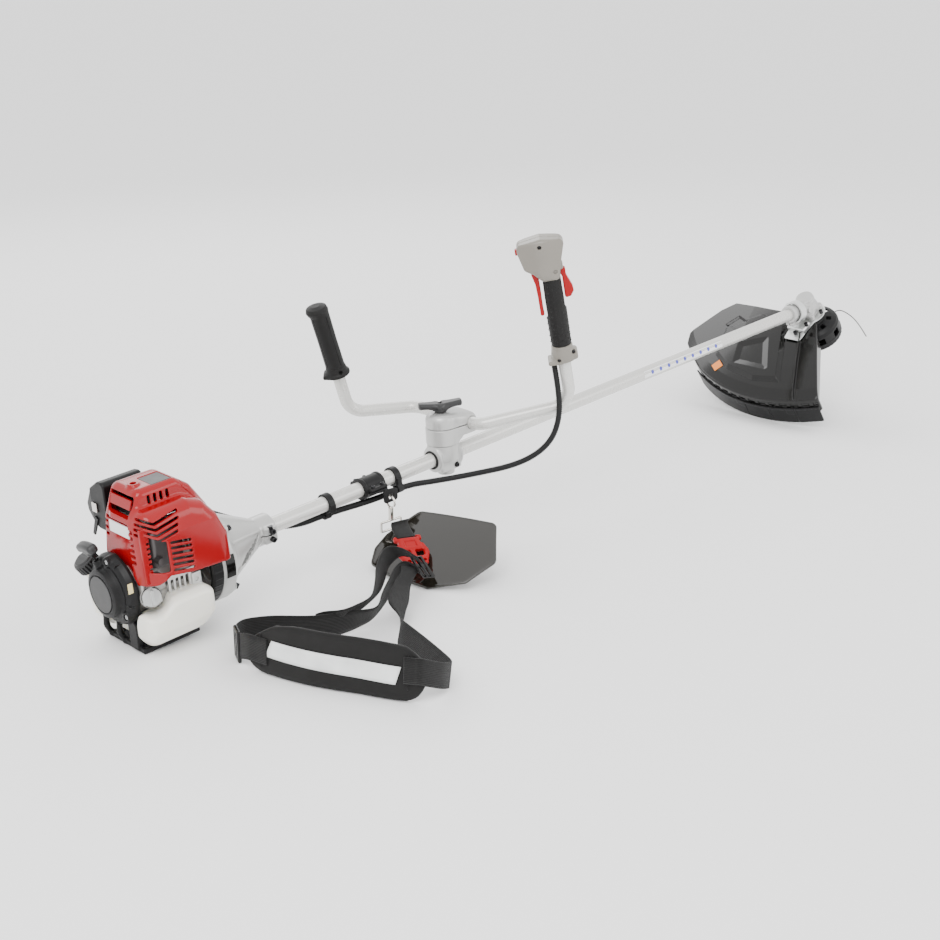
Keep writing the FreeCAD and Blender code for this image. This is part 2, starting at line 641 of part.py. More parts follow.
def make_right_grip():
    corner = BAR_POINTS[4]
    collar = [("bar_diameter / 2", 0), (22, 0), (22, 6), (19, 34), ("bar_diameter / 2", 34)]
    subpart("throttle_collar", placed(turned(collar), along(corner, RIGHT_AXIS, 80)))
    rubber = placed(turned([("bar_diameter / 2", 0), ("grip_radius", 0), ("grip_radius + 1", 60),
                            ("grip_radius", 118), ("bar_diameter / 2", 118)]),
                    along(corner, RIGHT_AXIS, 114.3))
    where = along(corner, RIGHT_AXIS, 0)
    front = placed(block(place(0, 0, 0), 12, 15, 66), where.multiply(place(11.3, -7.5, 166.6)))
    rear = placed(block(place(0, 0, 0), 12, 15, 52), where.multiply(place(-23.3, -7.5, 180.6)))
    subpart("throttle_rubber", cut(rubber, front, rear))
    side = ((-20, 0), (20, 0), (38, 12), (60, 26), (62, 50), (50, 62), (-2, 72), (-22, 60))
    body = placed(plate(side, 40), where.multiply(Placement(Vector(0, 20, 232.6), Rotation(Vector(1, 0, 0), 90))))
    socket = rod(along(corner, RIGHT_AXIS, 230), "bar_diameter / 2", 46)
    slot = placed(block(place(0, 0, 0), 40, 15, 22), where.multiply(place(11.3, -7.5, 232)))
    rear_slot = placed(block(place(0, 0, 0), 16, 15, 16), where.multiply(place(-26.3, -7.5, 232)))
    nub = placed(block(place(0, 0, 0), 20, 10.2, 18.2), where.multiply(place(50, -5.1, 261)))
    subpart("throttle_head", cut(body, socket, slot, rear_slot, nub))
    return where


def make_controls(where):
    """Trigger, lock lever and stop switch, drawn in the plane of the grip."""
    across = Placement(Vector(0, 6, 0), Rotation(Vector(1, 0, 0), 90))
    trigger = plate(((21, 172), (26, 170), (31, 190), (37, 215), (40, 243), (22, 243), (20, 230)), 12)
    subpart("throttle_trigger", placed(trigger, where.multiply(across)))
    lock = plate(((-21, 186), (-27, 192), (-34, 218), (-31, 234), (-22, 244), (-20, 240)), 12)
    subpart("throttle_lock", placed(lock, where.multiply(across)))
    nub = block(place(0, 0, 0), 8, 10, 10)
    subpart("stop_switch", placed(nub, where.multiply(place(56, -5, 262))))


def make_conduit():
    solid = flexible(CONDUIT_ROUTE, size("conduit_diameter") / 2, "throttle_conduit")
    subpart("throttle_conduit", shaped(solid))


# ---------------------------------------------------------------- harness

def make_hanger():
    start = size("eyelet_x") - 44
    clamp = fuse(rod(on_axis(start), "tube_diameter / 2 + 5", 44),
                 block(place(start + 4, -30, AXIS - 5), 36, 60, 10),
                 placed(plate(((-14, -19), (14, -19), (12, 7), (-12, 7)), 3),
                        facing((EYELET.x, EYELET.y - 1.5, EYELET.z), LEFT, (1, 0, 0))))
    bore = rod(on_axis(start - 2), "tube_diameter / 2 + 0.02", 50)
    hole = rod(facing((EYELET.x, EYELET.y - 5, EYELET.z), LEFT, (1, 0, 0)), "eyelet_radius", 10)
    subpart("hanger_clamp", cut(clamp, bore, hole))


def standing(point):
    """A point of the machine, tilted and lifted but not yet moved to the row's origin."""
    return FLOOR.inverse().multVec(POSE.multVec(point))


def make_snap_hook():
    top = standing(EYELET)
    ring = size("ring_radius")
    wire = size("ring_wire")
    loop = primitive("Torus", Placement(Vector(top.x, top.y, top.z - ring), Rotation(Vector(0, 1, 0), 90)),
                     Radius1="ring_radius", Radius2="ring_wire", Angle3=300)
    shank = top.z - 2 * ring - wire
    barrel = rod(place(top.x, top.y, shank - 20), 4.5, 21.5)
    bar_half = 22
    bars = [rod(Placement(Vector(top.x - bar_half, top.y, shank - z), ALONG_X), "ring_wire", 2 * bar_half)
            for z in (21, 37)]
    ends = [rod(place(top.x + side * bar_half, top.y, shank - 37), "ring_wire", 16) for side in (-1, 1)]
    subpart("snap_hook", fuse(loop, barrel, *(bars + ends)), FLOOR)
    centre = Vector(top.x, top.y, top.z - ring)
    hinge = centre + Vector(0, -1.7, -9.4)
    tip = centre + Vector(0, -8.2, -5.6)
    subpart("snap_gate", rod(facing(hinge, tip - hinge, (1, 0, 0)), 1.1, (tip - hinge).Length), FLOOR)


def strap(points, height, thickness, lift=0.4):
    """Webbing standing on its edge on the floor, along straight runs."""
    pieces = []
    for first, second in zip(points, points[1:]):
        run = Vector(second[0] - first[0], second[1] - first[1], 0)
        angle = math.degrees(math.atan2(run.y, run.x))
        wall = block(place(0, 0, 0), run.Length, thickness, height)
        half = Rotation(UP, angle).multVec(Vector(0, -thickness / 2, 0))
        wall.Placement = Placement(Vector(first[0], first[1], lift) + half, Rotation(UP, angle))
        pieces.append(wall)
    for x, y in points[1:-1]:
        pieces.append(rod(place(x, y, lift), thickness / 2, height))
    return fuse(*pieces)


def make_straps():
    width = size("strap_width")
    thick = size("strap_thickness")
    right = ((154, -420), (176, -436), (198, -424), (232, -318), (276, -240), (340, -176), (398, -132))
    subpart("strap_right", strap(right, width, thick), FLOOR)
    left = ((44, -188), (38, -168), (44, -146), (70, -128), (110, -138), (168, -184), (222, -208),
            (290, -190), (384, -126))
    subpart("strap_left", strap(left, width, thick), FLOOR)


def make_shoulder_pad():
    height = size("pad_height")
    thick = size("pad_thickness")
    route = ((50, -196), (64, -246), (88, -300), (118, -354), (150, -404))
    subpart("shoulder_pad", strap(route, height, thick, 1), FLOOR)


def make_buckle():
    hanging = facing((446, -58, 46), (-0.286, -0.768, -0.571), (0.937, -0.35, 0))
    body = placed(block(place(0, 0, 0), 38, 12, 48), hanging.multiply(place(-19, -6, 0)))
    subpart("harness_buckle", body, FLOOR)


def make_hip_pad():
    outline = ((-100, -30), (-66, -58), (62, -58), (98, -20), (98, 34), (84, 64), (-58, 64), (-84, 40))
    pad = plate(outline, 3)
    across = Vector(0.62, -0.785, 0)
    up = unit(0.54, 0.44, 0.72)
    pad.Placement = facing((501, -65, 45), across.cross(up), across)
    subpart("hip_pad", pad, FLOOR)


# ---------------------------------------------------------------- cutting head

def on_output(distance):
    """A place on the output axis whose Z axis points down it and whose X axis points back."""
    return facing(GEAR + DOWN_OUT * distance, DOWN_OUT, BACK)


def make_gear_case():
    outside = fuse(rod(on_axis(size("gear_x") - 77), "tube_diameter / 2 + 4.5", 72),
                   rod(on_output(-26), 20, 44), rod(on_output(-32), 16, 8))
    subpart("gear_case", cut(
        outside,
        rod(on_axis(size("gear_x") - 78), "tube_diameter / 2 + 0.02", 40),
        rod(on_axis(size("gear_x") - 40), 10, 40),
        rod(on_output(-22), 14, 34),
        rod(on_output(11), "5 + running_gap", 10)))


def make_output():
    shaft = [(0, 2.4), (9.5, 2.4), (12.2, 4.4), (11, 8.5), (5, 8.5), (5, 86), (0, 86)]
    subpart("output_shaft", placed(turned(shaft), on_output(0)))


def make_bracket():
    tongue = placed(plate(((0, -26), (84, -20), (84, 20), (0, 26)), 2.4), on_output(18.2))
    subpart("guard_bracket", cut(fuse(rod(on_output(18.2), 34, 2.4), tongue), rod(on_output(10), 8, 20)))


# The guard's outline seen along the output axis: X points back and Y left. Its outer edge is an arc
# through three points, and the other points are joined by straight edges.
GUARD_ARC = (Vector(206, -129, 0), Vector(240, 22, 0), Vector(181, 219, 0))
GUARD_SIDES = (Vector(128, 279, 0), Vector(98, 288, 0), Vector(20, 240, 0), Vector(-6, 212, 0),
               Vector(2, 100, 0), Vector(6, 34, 0), Vector(24, -31, 0))


def guard_block(gap, low, high):
    """The guard's outline, widened by a gap and raised along the output axis."""
    corners = [GUARD_ARC[2], *GUARD_SIDES, GUARD_ARC[0]]
    edges = [Part.Arc(*GUARD_ARC).toShape()]
    edges += [Part.makeLine(first, second) for first, second in zip(corners, corners[1:])]
    face = Part.Face(Part.Wire(edges))
    if gap:
        face = face.makeOffset2D(gap)
    face.translate(UP * low)
    return face.extrude(UP * (high - low))


def ring_of(points):
    """A solid turned about the Z axis from a closed outline of (radius, height) points."""
    corners = [Vector(radius, 0, height) for radius, height in points]
    return Part.Face(Part.makePolygon(corners + corners[:1])).revolve(Vector(), UP, 360)


def make_guard():
    wall = size("guard_wall")
    bottom = size("guard_bottom")
    slope = [(30, 20.9), (40, 20.9), (152, 30.4), (330, 52)]
    under = [(330, 52 + wall), (152, 30.4 + wall), (40, 20.9 + wall), (30, 20.9 + wall)]
    roof = guard_block(0, 10, bottom).common(ring_of(slope + under))
    above = ring_of([(0, 5)] + [(0, 20.9)] + slope[1:] + [(330, 5)])
    arc = Part.Arc(*GUARD_ARC).toShape().Curve
    inward = Part.makeCylinder(arc.Radius - 2 * wall, bottom, arc.Center + UP * size("guard_side"))
    head_room = Part.makeCylinder(76, bottom, Vector(0, 0, 20))
    rim = guard_block(0, 10, bottom).cut([guard_block(-wall, 9, bottom + 1), above, inward, head_room])
    subpart("guard", placed(shaped(roof.fuse(rim)), on_output(0)))
    skirt_top = bottom - 16
    skirt_bottom = size("skirt_bottom")
    band = guard_block(3.3, skirt_top, skirt_bottom).cut(guard_block(0.3, skirt_top - 1, skirt_bottom + 1))
    inside = Part.makeCylinder(arc.Radius, skirt_bottom, arc.Center)
    span = Part.makeBox(300, GUARD_ARC[2].y - GUARD_ARC[0].y - 6, skirt_bottom,
                        Vector(100, GUARD_ARC[0].y + 3, 0))
    subpart("guard_skirt", placed(shaped(band.common(span).cut(inside)), on_output(0)))


def make_head():
    cup = [(5, 30), (22, 30), (24, 40), (44, 46), ("head_radius - 2", 52), ("head_radius", 60),
           ("head_radius", 88), ("head_radius - 3", 91), ("head_radius - 3", 88), ("head_radius - 6", 58),
           (42, 52), (20, 46), (5, 46)]
    hole = rod(facing(GEAR + DOWN_OUT * 70 + LINE_OUT * 40, LINE_OUT, DOWN_OUT), 3, 20)
    subpart("trimmer_head", cut(placed(turned(cup), on_output(0)), hole))
    bore = "5 + running_gap"
    spool = [(bore, 60), (44, 60), (44, 62.5), (26, 62.5), (26, 77.5), (44, 77.5), (44, 80), (bore, 80)]
    subpart("line_spool", placed(turned(spool), on_output(0)))
    knob = [(0, 92), (5.2, 92), (5.2, 81), (30, 81), (34, 96), (24, 108), (0, 110)]
    subpart("bump_knob", placed(turned(knob), on_output(0)))


def line_point(right, back):
    """A point of the cutting line's plane, to the machine's right and back from the output axis."""
    return GEAR + DOWN_OUT * 70 - LEFT * right + BACK * back


def make_line():
    route = (line_point(10, -46), line_point(17, -66), line_point(45, -62), line_point(86, -40),
             line_point(126, -5))
    subpart("trimmer_line", shaped(flexible(route, size("line_diameter") / 2, "trimmer_line")))


# ---------------------------------------------------------------- build, check and export

def check_document():
    for item in doc.Objects:
        if "Invalid" in item.State or "Error" in item.State:
            raise RuntimeError("%s %s failed: %s" % (item.Label, item.TypeId, item.State))
    for item in SUBPARTS:
        if item.Shape.isNull() or not item.Shape.isValid():
            raise RuntimeError("%s has no valid shape" % item.Label)


def export():
    os.makedirs("parts", exist_ok=True)
    for item in SUBPARTS:
        item.Shape.exportStep("parts/%s.step" % item.Label)


def main():
    make_tube()
    make_liner()
    make_drive_line()
    make_crankcase()
    make_cylinder()
    make_crank()
    make_flywheel()
    make_clutch_shoes()
    make_recoil()
    make_starter_grip()
    make_top_cover()
    make_fan_cover()
    make_clutch_housing()
    make_muffler()
    make_carburetor()
    make_air_cleaner()
    make_tank()
    make_oil_cap()
    make_skid()
    make_handle_post()
    make_handle_holder()
    make_handle_knob()
    make_handlebar()
    make_left_grip()
    make_controls(make_right_grip())
    make_conduit()
    make_hanger()
    make_snap_hook()
    make_straps()
    make_shoulder_pad()
    make_buckle()
    make_hip_pad()
    make_gear_case()
    make_output()
    make_bracket()
    make_guard()
    make_head()
    make_line()
    doc.recompute()
    check_document()
    export()


main()
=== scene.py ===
"""Looks of the bike-handle string trimmer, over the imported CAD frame.

Lengths in the modelling code are millimetres in the machine's own frame, which the crank joint gives: X runs
along the tube from the crankcase to the head, Y is left and Z is up from the skid. The harness is drawn in
the floor's frame, with the same origin but level. Objects are in metres in the row frame.
"""
import json
import math

import bpy
import numpy as np
from mathutils import Matrix, Vector


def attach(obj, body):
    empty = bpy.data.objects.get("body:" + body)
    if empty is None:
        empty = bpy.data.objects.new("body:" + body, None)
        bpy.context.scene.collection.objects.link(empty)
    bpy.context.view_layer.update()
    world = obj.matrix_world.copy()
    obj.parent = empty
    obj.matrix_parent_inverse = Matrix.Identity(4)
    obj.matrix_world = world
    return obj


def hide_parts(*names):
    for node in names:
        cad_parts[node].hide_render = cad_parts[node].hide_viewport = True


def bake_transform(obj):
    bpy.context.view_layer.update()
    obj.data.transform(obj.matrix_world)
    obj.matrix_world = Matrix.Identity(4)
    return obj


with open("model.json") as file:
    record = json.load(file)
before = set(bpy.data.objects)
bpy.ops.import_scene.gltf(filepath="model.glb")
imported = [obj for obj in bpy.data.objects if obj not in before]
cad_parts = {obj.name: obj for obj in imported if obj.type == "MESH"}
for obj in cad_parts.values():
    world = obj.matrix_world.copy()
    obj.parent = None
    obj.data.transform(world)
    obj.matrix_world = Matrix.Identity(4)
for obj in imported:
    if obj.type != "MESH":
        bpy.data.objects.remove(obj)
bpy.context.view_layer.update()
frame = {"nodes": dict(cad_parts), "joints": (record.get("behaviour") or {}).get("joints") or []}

MM = 0.001
AXIS = 95                                  # the tube's axis over the bottom of the skid
JOINTS = {joint["name"]: joint for joint in frame["joints"]}
DETAIL = 1.0        # coarser steps while working


# ---------------------------------------------------------------- frames

def machine_pose():
    """The machine's frame in the row: the crank's axis is its X axis, at the height AXIS."""
    crank = JOINTS["crank_spin"]
    along = Vector(crank["axis"]).normalized()
    left = Vector((0, 1, 0))
    up = along.cross(left)
    origin = Vector(crank["pos_m"]) - up * AXIS * MM
    pose = Matrix((along, left, up)).transposed().to_4x4()
    pose.translation = origin
    return pose


POSE = machine_pose()
FLOOR = Matrix.Translation((POSE.translation.x, POSE.translation.y, 0))


def facing(origin, z_axis, x_axis):
    """A placement in millimetres whose Z axis is z_axis and whose X axis lies towards x_axis."""
    z = Vector(z_axis).normalized()
    y = z.cross(Vector(x_axis)).normalized()
    turn = Matrix((y.cross(z), y, z)).transposed().to_4x4()
    turn.translation = Vector(origin)
    return turn


def at(point, pose=POSE):
    """A point given in millimetres as a point of the row, in metres."""
    return pose @ (Vector(point) * MM)


# ---------------------------------------------------------------- materials

def noise(tree, scale, detail=2.0, rough=0.5):
    """Noise in the object's own coordinates, with scale cells to a metre."""
    place = tree.nodes.new("ShaderNodeTexCoord")
    node = tree.nodes.new("ShaderNodeTexNoise")
    node.inputs["Scale"].default_value = scale
    node.inputs["Detail"].default_value = detail
    node.inputs["Roughness"].default_value = rough
    tree.links.new(place.outputs["Object"], node.inputs["Vector"])
    return node.outputs["Fac"]


def spread(tree, value, low, high):
    """Maps a 0 to 1 signal onto a range."""
    node = tree.nodes.new("ShaderNodeMapRange")
    node.inputs["To Min"].default_value = low
    node.inputs["To Max"].default_value = high
    tree.links.new(value, node.inputs["Value"])
    return node.outputs["Result"]


def tint(tree, value, dark, light):
    """Colours a 0 to 1 signal between two close tones."""
    ramp = tree.nodes.new("ShaderNodeValToRGB")
    ramp.color_ramp.elements[0].color = (*dark, 1)
    ramp.color_ramp.elements[1].color = (*light, 1)
    ramp.color_ramp.elements[0].position = 0.25
    ramp.color_ramp.elements[1].position = 0.75
    tree.links.new(value, ramp.inputs["Fac"])
    return ramp.outputs["Color"]


def bump(tree, height, distance):
    """A bump with a depth in millimetres."""
    node = tree.nodes.new("ShaderNodeBump")
    node.inputs["Strength"].default_value = 1.0
    node.inputs["Distance"].default_value = distance * MM
    tree.links.new(height, node.inputs["Height"])
    return node.outputs["Normal"]


def surface(name, colour, roughness, metallic=0.0, coat=0.0, grain=None, mottle=0.08, sheen=0.0,
            transmission=0.0, subsurface=0.0, specular=0.5, wear=0.0, smudge=0.08):
    """A moulded, cast or painted surface. grain is (cells per metre, depth in millimetres)."""
    material = bpy.data.materials.new(name)
    material.use_nodes = True
    tree = material.node_tree
    shader = tree.nodes["Principled BSDF"]
    settings = {"Metallic": metallic, "Coat Weight": coat, "Coat Roughness": 0.06, "Sheen Weight": sheen,
                "Transmission Weight": transmission, "Subsurface Weight": subsurface,
                "Subsurface Radius": (0.02, 0.018, 0.014), "Specular IOR Level": specular}
    for socket, value in settings.items():
        shader.inputs[socket].default_value = value
    patches = noise(tree, 14, 4.0)
    dark = tuple(c * (1 - mottle) for c in colour)
    light = tuple(min(c * (1 + mottle), 1) for c in colour)
    base = tint(tree, patches, dark, light)
    if wear:
        base = worn(tree, base, light, wear)
    tree.links.new(base, shader.inputs["Base Color"])
    rough = spread(tree, noise(tree, 55, 5.0, 0.6), max(roughness - smudge, 0.02), roughness + smudge)
    tree.links.new(rough, shader.inputs["Roughness"])
    if grain:
        tree.links.new(bump(tree, noise(tree, grain[0], 3.0, 0.6), grain[1]), shader.inputs["Normal"])
    return material


def worn(tree, base, light, amount):
    """Paler convex edges, broken up by noise."""
    geometry = tree.nodes.new("ShaderNodeNewGeometry")
    edge = tree.nodes.new("ShaderNodeMapRange")
    edge.inputs["From Min"].default_value = 0.53
    edge.inputs["From Max"].default_value = 0.62
    tree.links.new(geometry.outputs["Pointiness"], edge.inputs["Value"])
    broken = tree.nodes.new("ShaderNodeMath")
    broken.operation = "MULTIPLY"
    tree.links.new(edge.outputs["Result"], broken.inputs[0])
    tree.links.new(spread(tree, noise(tree, 160, 4.0), 0, amount), broken.inputs[1])
    mix = tree.nodes.new("ShaderNodeMix")
    mix.data_type = "RGBA"
    mix.inputs["B"].default_value = (*[min(c * 1.6 + 0.08, 1) for c in light], 1)
    tree.links.new(broken.outputs[0], mix.inputs["Factor"])
    tree.links.new(base, mix.inputs["A"])
    return mix.outputs["Result"]


RIBS_PER_SCALE = 20


def woven(name, colour, ribs, depth, sheen=0.3):
    """Webbing or cloth whose yarns follow the piece's UVs, in metres: ribs is (across, along) per metre."""
    material = surface(name, colour, 0.72, sheen=sheen, mottle=0.22, specular=0.25)
    tree = material.node_tree
    shader = tree.nodes["Principled BSDF"]
    place = tree.nodes.new("ShaderNodeTexCoord")
    height = None
    for direction, count in zip(("X", "Y"), ribs):
        wave = tree.nodes.new("ShaderNodeTexWave")
        wave.bands_direction = direction
        wave.wave_profile = "SIN"
        wave.inputs["Scale"].default_value = count / RIBS_PER_SCALE
        wave.inputs["Distortion"].default_value = 0.6
        wave.inputs["Detail Scale"].default_value = 2.0
        tree.links.new(place.outputs["UV"], wave.inputs["Vector"])
        if height is None:
            height = wave.outputs["Fac"]
        else:
            mix = tree.nodes.new("ShaderNodeMath")
            mix.operation = "MULTIPLY_ADD"
            mix.inputs[1].default_value = 0.6
            tree.links.new(wave.outputs["Fac"], mix.inputs[0])
            tree.links.new(height, mix.inputs[2])
            height = mix.outputs[0]
    tree.links.new(bump(tree, height, depth), shader.inputs["Normal"])
    return material


RED = surface("red_gloss", (0.27, 0.0, 0.0025), 0.17, coat=0.12, mottle=0.05, smudge=0.04, specular=0.35,
              wear=0.12)
RED_DULL = surface("red_satin", (0.32, 0.0, 0.002), 0.30, mottle=0.06, grain=(1800, 0.03), specular=0.25)
BLACK = surface("black_grained", (0.0045, 0.0045, 0.0048), 0.42, grain=(1500, 0.06), mottle=0.15,
                specular=0.24, wear=0.12)
BLACK_GLOSS = surface("black_gloss", (0.0035, 0.0033, 0.003), 0.14, coat=0.08, mottle=0.12, smudge=0.05,
                      specular=0.32, wear=0.08)
GREY = surface("grey_satin", (0.20, 0.185, 0.16), 0.32, grain=(2200, 0.02), mottle=0.04, wear=0.15)
LABEL_GREY = surface("label_grey", (0.012, 0.012, 0.0125), 0.40, mottle=0.06, grain=(2500, 0.02))
RUBBER = surface("rubber", (0.0075, 0.0072, 0.007), 0.55, grain=(2600, 0.05), mottle=0.2, specular=0.22)
PAINT = surface("tube_enamel", (0.60, 0.595, 0.57), 0.27, metallic=0.25, coat=0.2, mottle=0.015,
                grain=(900, 0.003), smudge=0.03)
SILVER = surface("silver_enamel", (0.46, 0.46, 0.45), 0.34, metallic=0.45, coat=0.12, mottle=0.04,
                 grain=(1600, 0.02), wear=0.2)
CAST = surface("cast_alloy", (0.42, 0.415, 0.40), 0.40, metallic=0.75, mottle=0.10, grain=(900, 0.09),
               wear=0.3)
STEEL = surface("machined_steel", (0.55, 0.55, 0.55), 0.28, metallic=1.0, mottle=0.08, grain=(700, 0.02))
ZINC = surface("zinc_plate", (0.70, 0.71, 0.70), 0.33, metallic=0.9, mottle=0.10, grain=(500, 0.02))
CHROME = surface("nickel_plate", (0.74, 0.71, 0.66), 0.14, metallic=1.0, mottle=0.06, smudge=0.05)
SCREW = surface("blackened_screw", (0.03, 0.03, 0.032), 0.30, metallic=0.8, mottle=0.2, grain=(1200, 0.03))
HOT_STEEL = surface("blued_steel", (0.09, 0.085, 0.085), 0.42, metallic=0.8, mottle=0.35, grain=(600, 0.05))
MILKY = surface("milky_tank", (0.86, 0.84, 0.765), 0.30, subsurface=0.45, mottle=0.025, grain=(700, 0.05),
                specular=0.45, smudge=0.05)
CLEAR = surface("clear_cap", (0.78, 0.79, 0.78), 0.12, transmission=0.55, mottle=0.03, smudge=0.03)
WHITE = surface("blank_label", (0.82, 0.83, 0.82), 0.35, mottle=0.02, grain=(2500, 0.01))
ORANGE = surface("orange_label", (0.75, 0.20, 0.004), 0.40, mottle=0.04, grain=(2500, 0.01))
SMOKE = surface("smoke_gloss", (0.012, 0.0105, 0.0078), 0.06, coat=0.5, mottle=0.06, smudge=0.02)
NYLON = surface("nylon_line", (0.09, 0.085, 0.08), 0.35, mottle=0.1, grain=(2000, 0.02))
WEBBING = woven("webbing", (0.0048, 0.0046, 0.0044), (2600, 5200), 0.5, sheen=0.08)
CLOTH = woven("pad_cloth", (0.0055, 0.0052, 0.005), (14000, 14000), 0.10, sheen=0.06)
BINDING = woven("pad_binding", (0.004, 0.0039, 0.0037), (12000, 6000), 0.2, sheen=0.06)
STRIP = woven("reflective_cloth", (0.78, 0.80, 0.79), (5200, 5200), 0.12, sheen=0.1)
CREAM = surface("cream_label", (0.78, 0.66, 0.32), 0.4, mottle=0.05)
BLUE = surface("blue_label", (0.06, 0.07, 0.42), 0.4, mottle=0.05)


# ---------------------------------------------------------------- solid fields, in millimetres

def ball(p, centre, radius):
    """Like every field here: p is an array of points, and the distance is negative inside."""
    return np.linalg.norm(p - np.array(centre, np.float32), axis=1) - radius


def brick(p, low, high, edge=1.0):
    """A box between two corners with round edges."""
    low, high = np.array(low, np.float32), np.array(high, np.float32)
    q = np.abs(p - (low + high) / 2) - (high - low) / 2 + edge
    return np.linalg.norm(np.maximum(q, 0), axis=1) + np.minimum(q.max(1), 0) - edge


def capped(side, cap, edge):
    """Where two distances are both negative, with the corner between them rounded."""
    return np.hypot(np.maximum(side, 0), np.maximum(cap, 0)) + np.minimum(np.maximum(side, cap), 0) - edge


def rod(p, start, end, radius, edge=1.0):
    """A cylinder, or a cone if radius is a pair, with round rims."""
    start, end = np.array(start, np.float32), np.array(end, np.float32)
    axis = end - start
    length = float(np.linalg.norm(axis))
    axis = axis / length
    q = p - start
    along = q @ axis
    out = np.sqrt(np.maximum((q * q).sum(1) - along * along, 0))
    first, last = radius if isinstance(radius, tuple) else (radius, radius)
    wall = first + (last - first) * np.clip(along / length, 0, 1)
    side = (out - wall) * length / math.hypot(length, last - first) + edge
    cap = np.abs(along - length / 2) - length / 2 + edge
    return capped(side, cap, edge)


def outline(u, v, points):
    """Signed distance to a closed polygon in a plane."""
    near = np.full(u.shape, 1e9, np.float32)
    sign = np.ones(u.shape, np.float32)
    for (x0, y0), (x1, y1) in zip(points, points[1:] + points[:1]):
        ex, ey = x1 - x0, y1 - y0
        wx, wy = u - x0, v - y0
        t = np.clip((wx * ex + wy * ey) / (ex * ex + ey * ey), 0, 1)
        near = np.minimum(near, (wx - ex * t) ** 2 + (wy - ey * t) ** 2)
        above, below, leftward = v >= y0, v < y1, ex * wy > ey * wx
        sign = np.where((above & below & leftward) | ~(above | below | leftward), -sign, sign)
    return sign * np.sqrt(near)


def drawn_in(points, gap):
    """A polygon with each side moved inwards."""
    area = sum(a[0] * b[1] - b[0] * a[1] for a, b in zip(points, points[1:] + points[:1]))
    turn = 1 if area > 0 else -1
    lines = []
    for (x0, y0), (x1, y1) in zip(points, points[1:] + points[:1]):
        length = math.hypot(x1 - x0, y1 - y0)
        nx, ny = -(y1 - y0) / length * turn, (x1 - x0) / length * turn
        lines.append((nx, ny, nx * x0 + ny * y0 + gap))
    inner = []
    for (a, b, c), (d, e, f) in zip(lines[-1:] + lines[:-1], lines):
        det = a * e - b * d
        inner.append(((c * e - b * f) / det, (a * f - c * d) / det))
    return inner


def prism(p, axes, points, low, high, edge=2.0, corner=None):
    """A polygon in the plane of two axes, raised along the third, with round corners and rims."""
    corner = edge if corner is None else corner
    u, v = p[:, axes[0]], p[:, axes[1]]
    w = p[:, 3 - axes[0] - axes[1]]
    side = outline(u, v, drawn_in(list(points), corner)) - corner + edge
    cap = np.abs(w - (low + high) / 2) - (high - low) / 2 + edge
    return capped(side, cap, edge)


def join(a, b, blend=1.5):
    """The union of two fields, with a fillet."""
    h = np.maximum(blend - np.abs(a - b), 0) / blend
    return np.minimum(a, b) - h * h * blend / 4


def both(a, b, blend=1.5):
    """The common part of two fields."""
    return -join(-a, -b, blend)


def carve(a, b, blend=1.5):
    """The first field without the second."""
    return both(a, -b, blend)


def inside(p, placement):
    """Points in the millimetre frame of a placement."""
    back = np.array(placement.inverted(), np.float32)
    return p @ back[:3, :3].T + back[:3, 3]


def around_tube(p):
    """Distance from the tube's axis, and angle about it from the right-hand side upwards."""
    return np.hypot(p[:, 1], p[:, 2] - AXIS), np.arctan2(p[:, 2] - AXIS, -p[:, 1])


def bounds_of(placement, low, high):
    """The box in the outer frame that holds a box of a placement."""
    corners = [placement @ Vector((x, y, z)) for x in (low[0], high[0]) for y in (low[1], high[1])
               for z in (low[2], high[2])]
    return ([min(c[i] for c in corners) for i in range(3)], [max(c[i] for c in corners) for i in range(3)])


# ---------------------------------------------------------------- meshes from fields

CORNERS = np.array([(i, j, k) for i in (0, 1) for j in (0, 1) for k in (0, 1)])
EDGES = [(a, b) for a in range(8) for b in range(a + 1, 8) if np.abs(CORNERS[a] - CORNERS[b]).sum() == 1]


def sampled(field, low, count, step):
    """The field on a grid, worked out only in the blocks that its surface can pass through."""
    block = 8                                # cells along a block's side
    blocks = -(-count // block)
    grid = np.full(blocks * block, 1e3, np.float32)
    index = np.stack(np.meshgrid(*[np.arange(n) for n in blocks], indexing="ij"), -1).reshape(-1, 3)
    centres = low + (index * block + (block - 1) / 2) * step
    rough = field(centres.astype(np.float32))
    # half a block's diagonal is 0.87 of its side, and blended fields are not quite distances
    near = np.abs(rough) < block * step * 1.25
    cell = np.stack(np.meshgrid(*[np.arange(block)] * 3, indexing="ij"), -1).reshape(-1, 3)
    for i, value in zip(index[~near], rough[~near]):
        a, b, c = i * block
        grid[a:a + block, b:b + block, c:c + block] = value
    for some in np.array_split(index[near], max(len(index[near]) // 400, 1)):
        spots = (some[:, None, :] * block + cell[None]).reshape(-1, 3)
        grid[spots[:, 0], spots[:, 1], spots[:, 2]] = field((low + spots * step).astype(np.float32))
    return grid


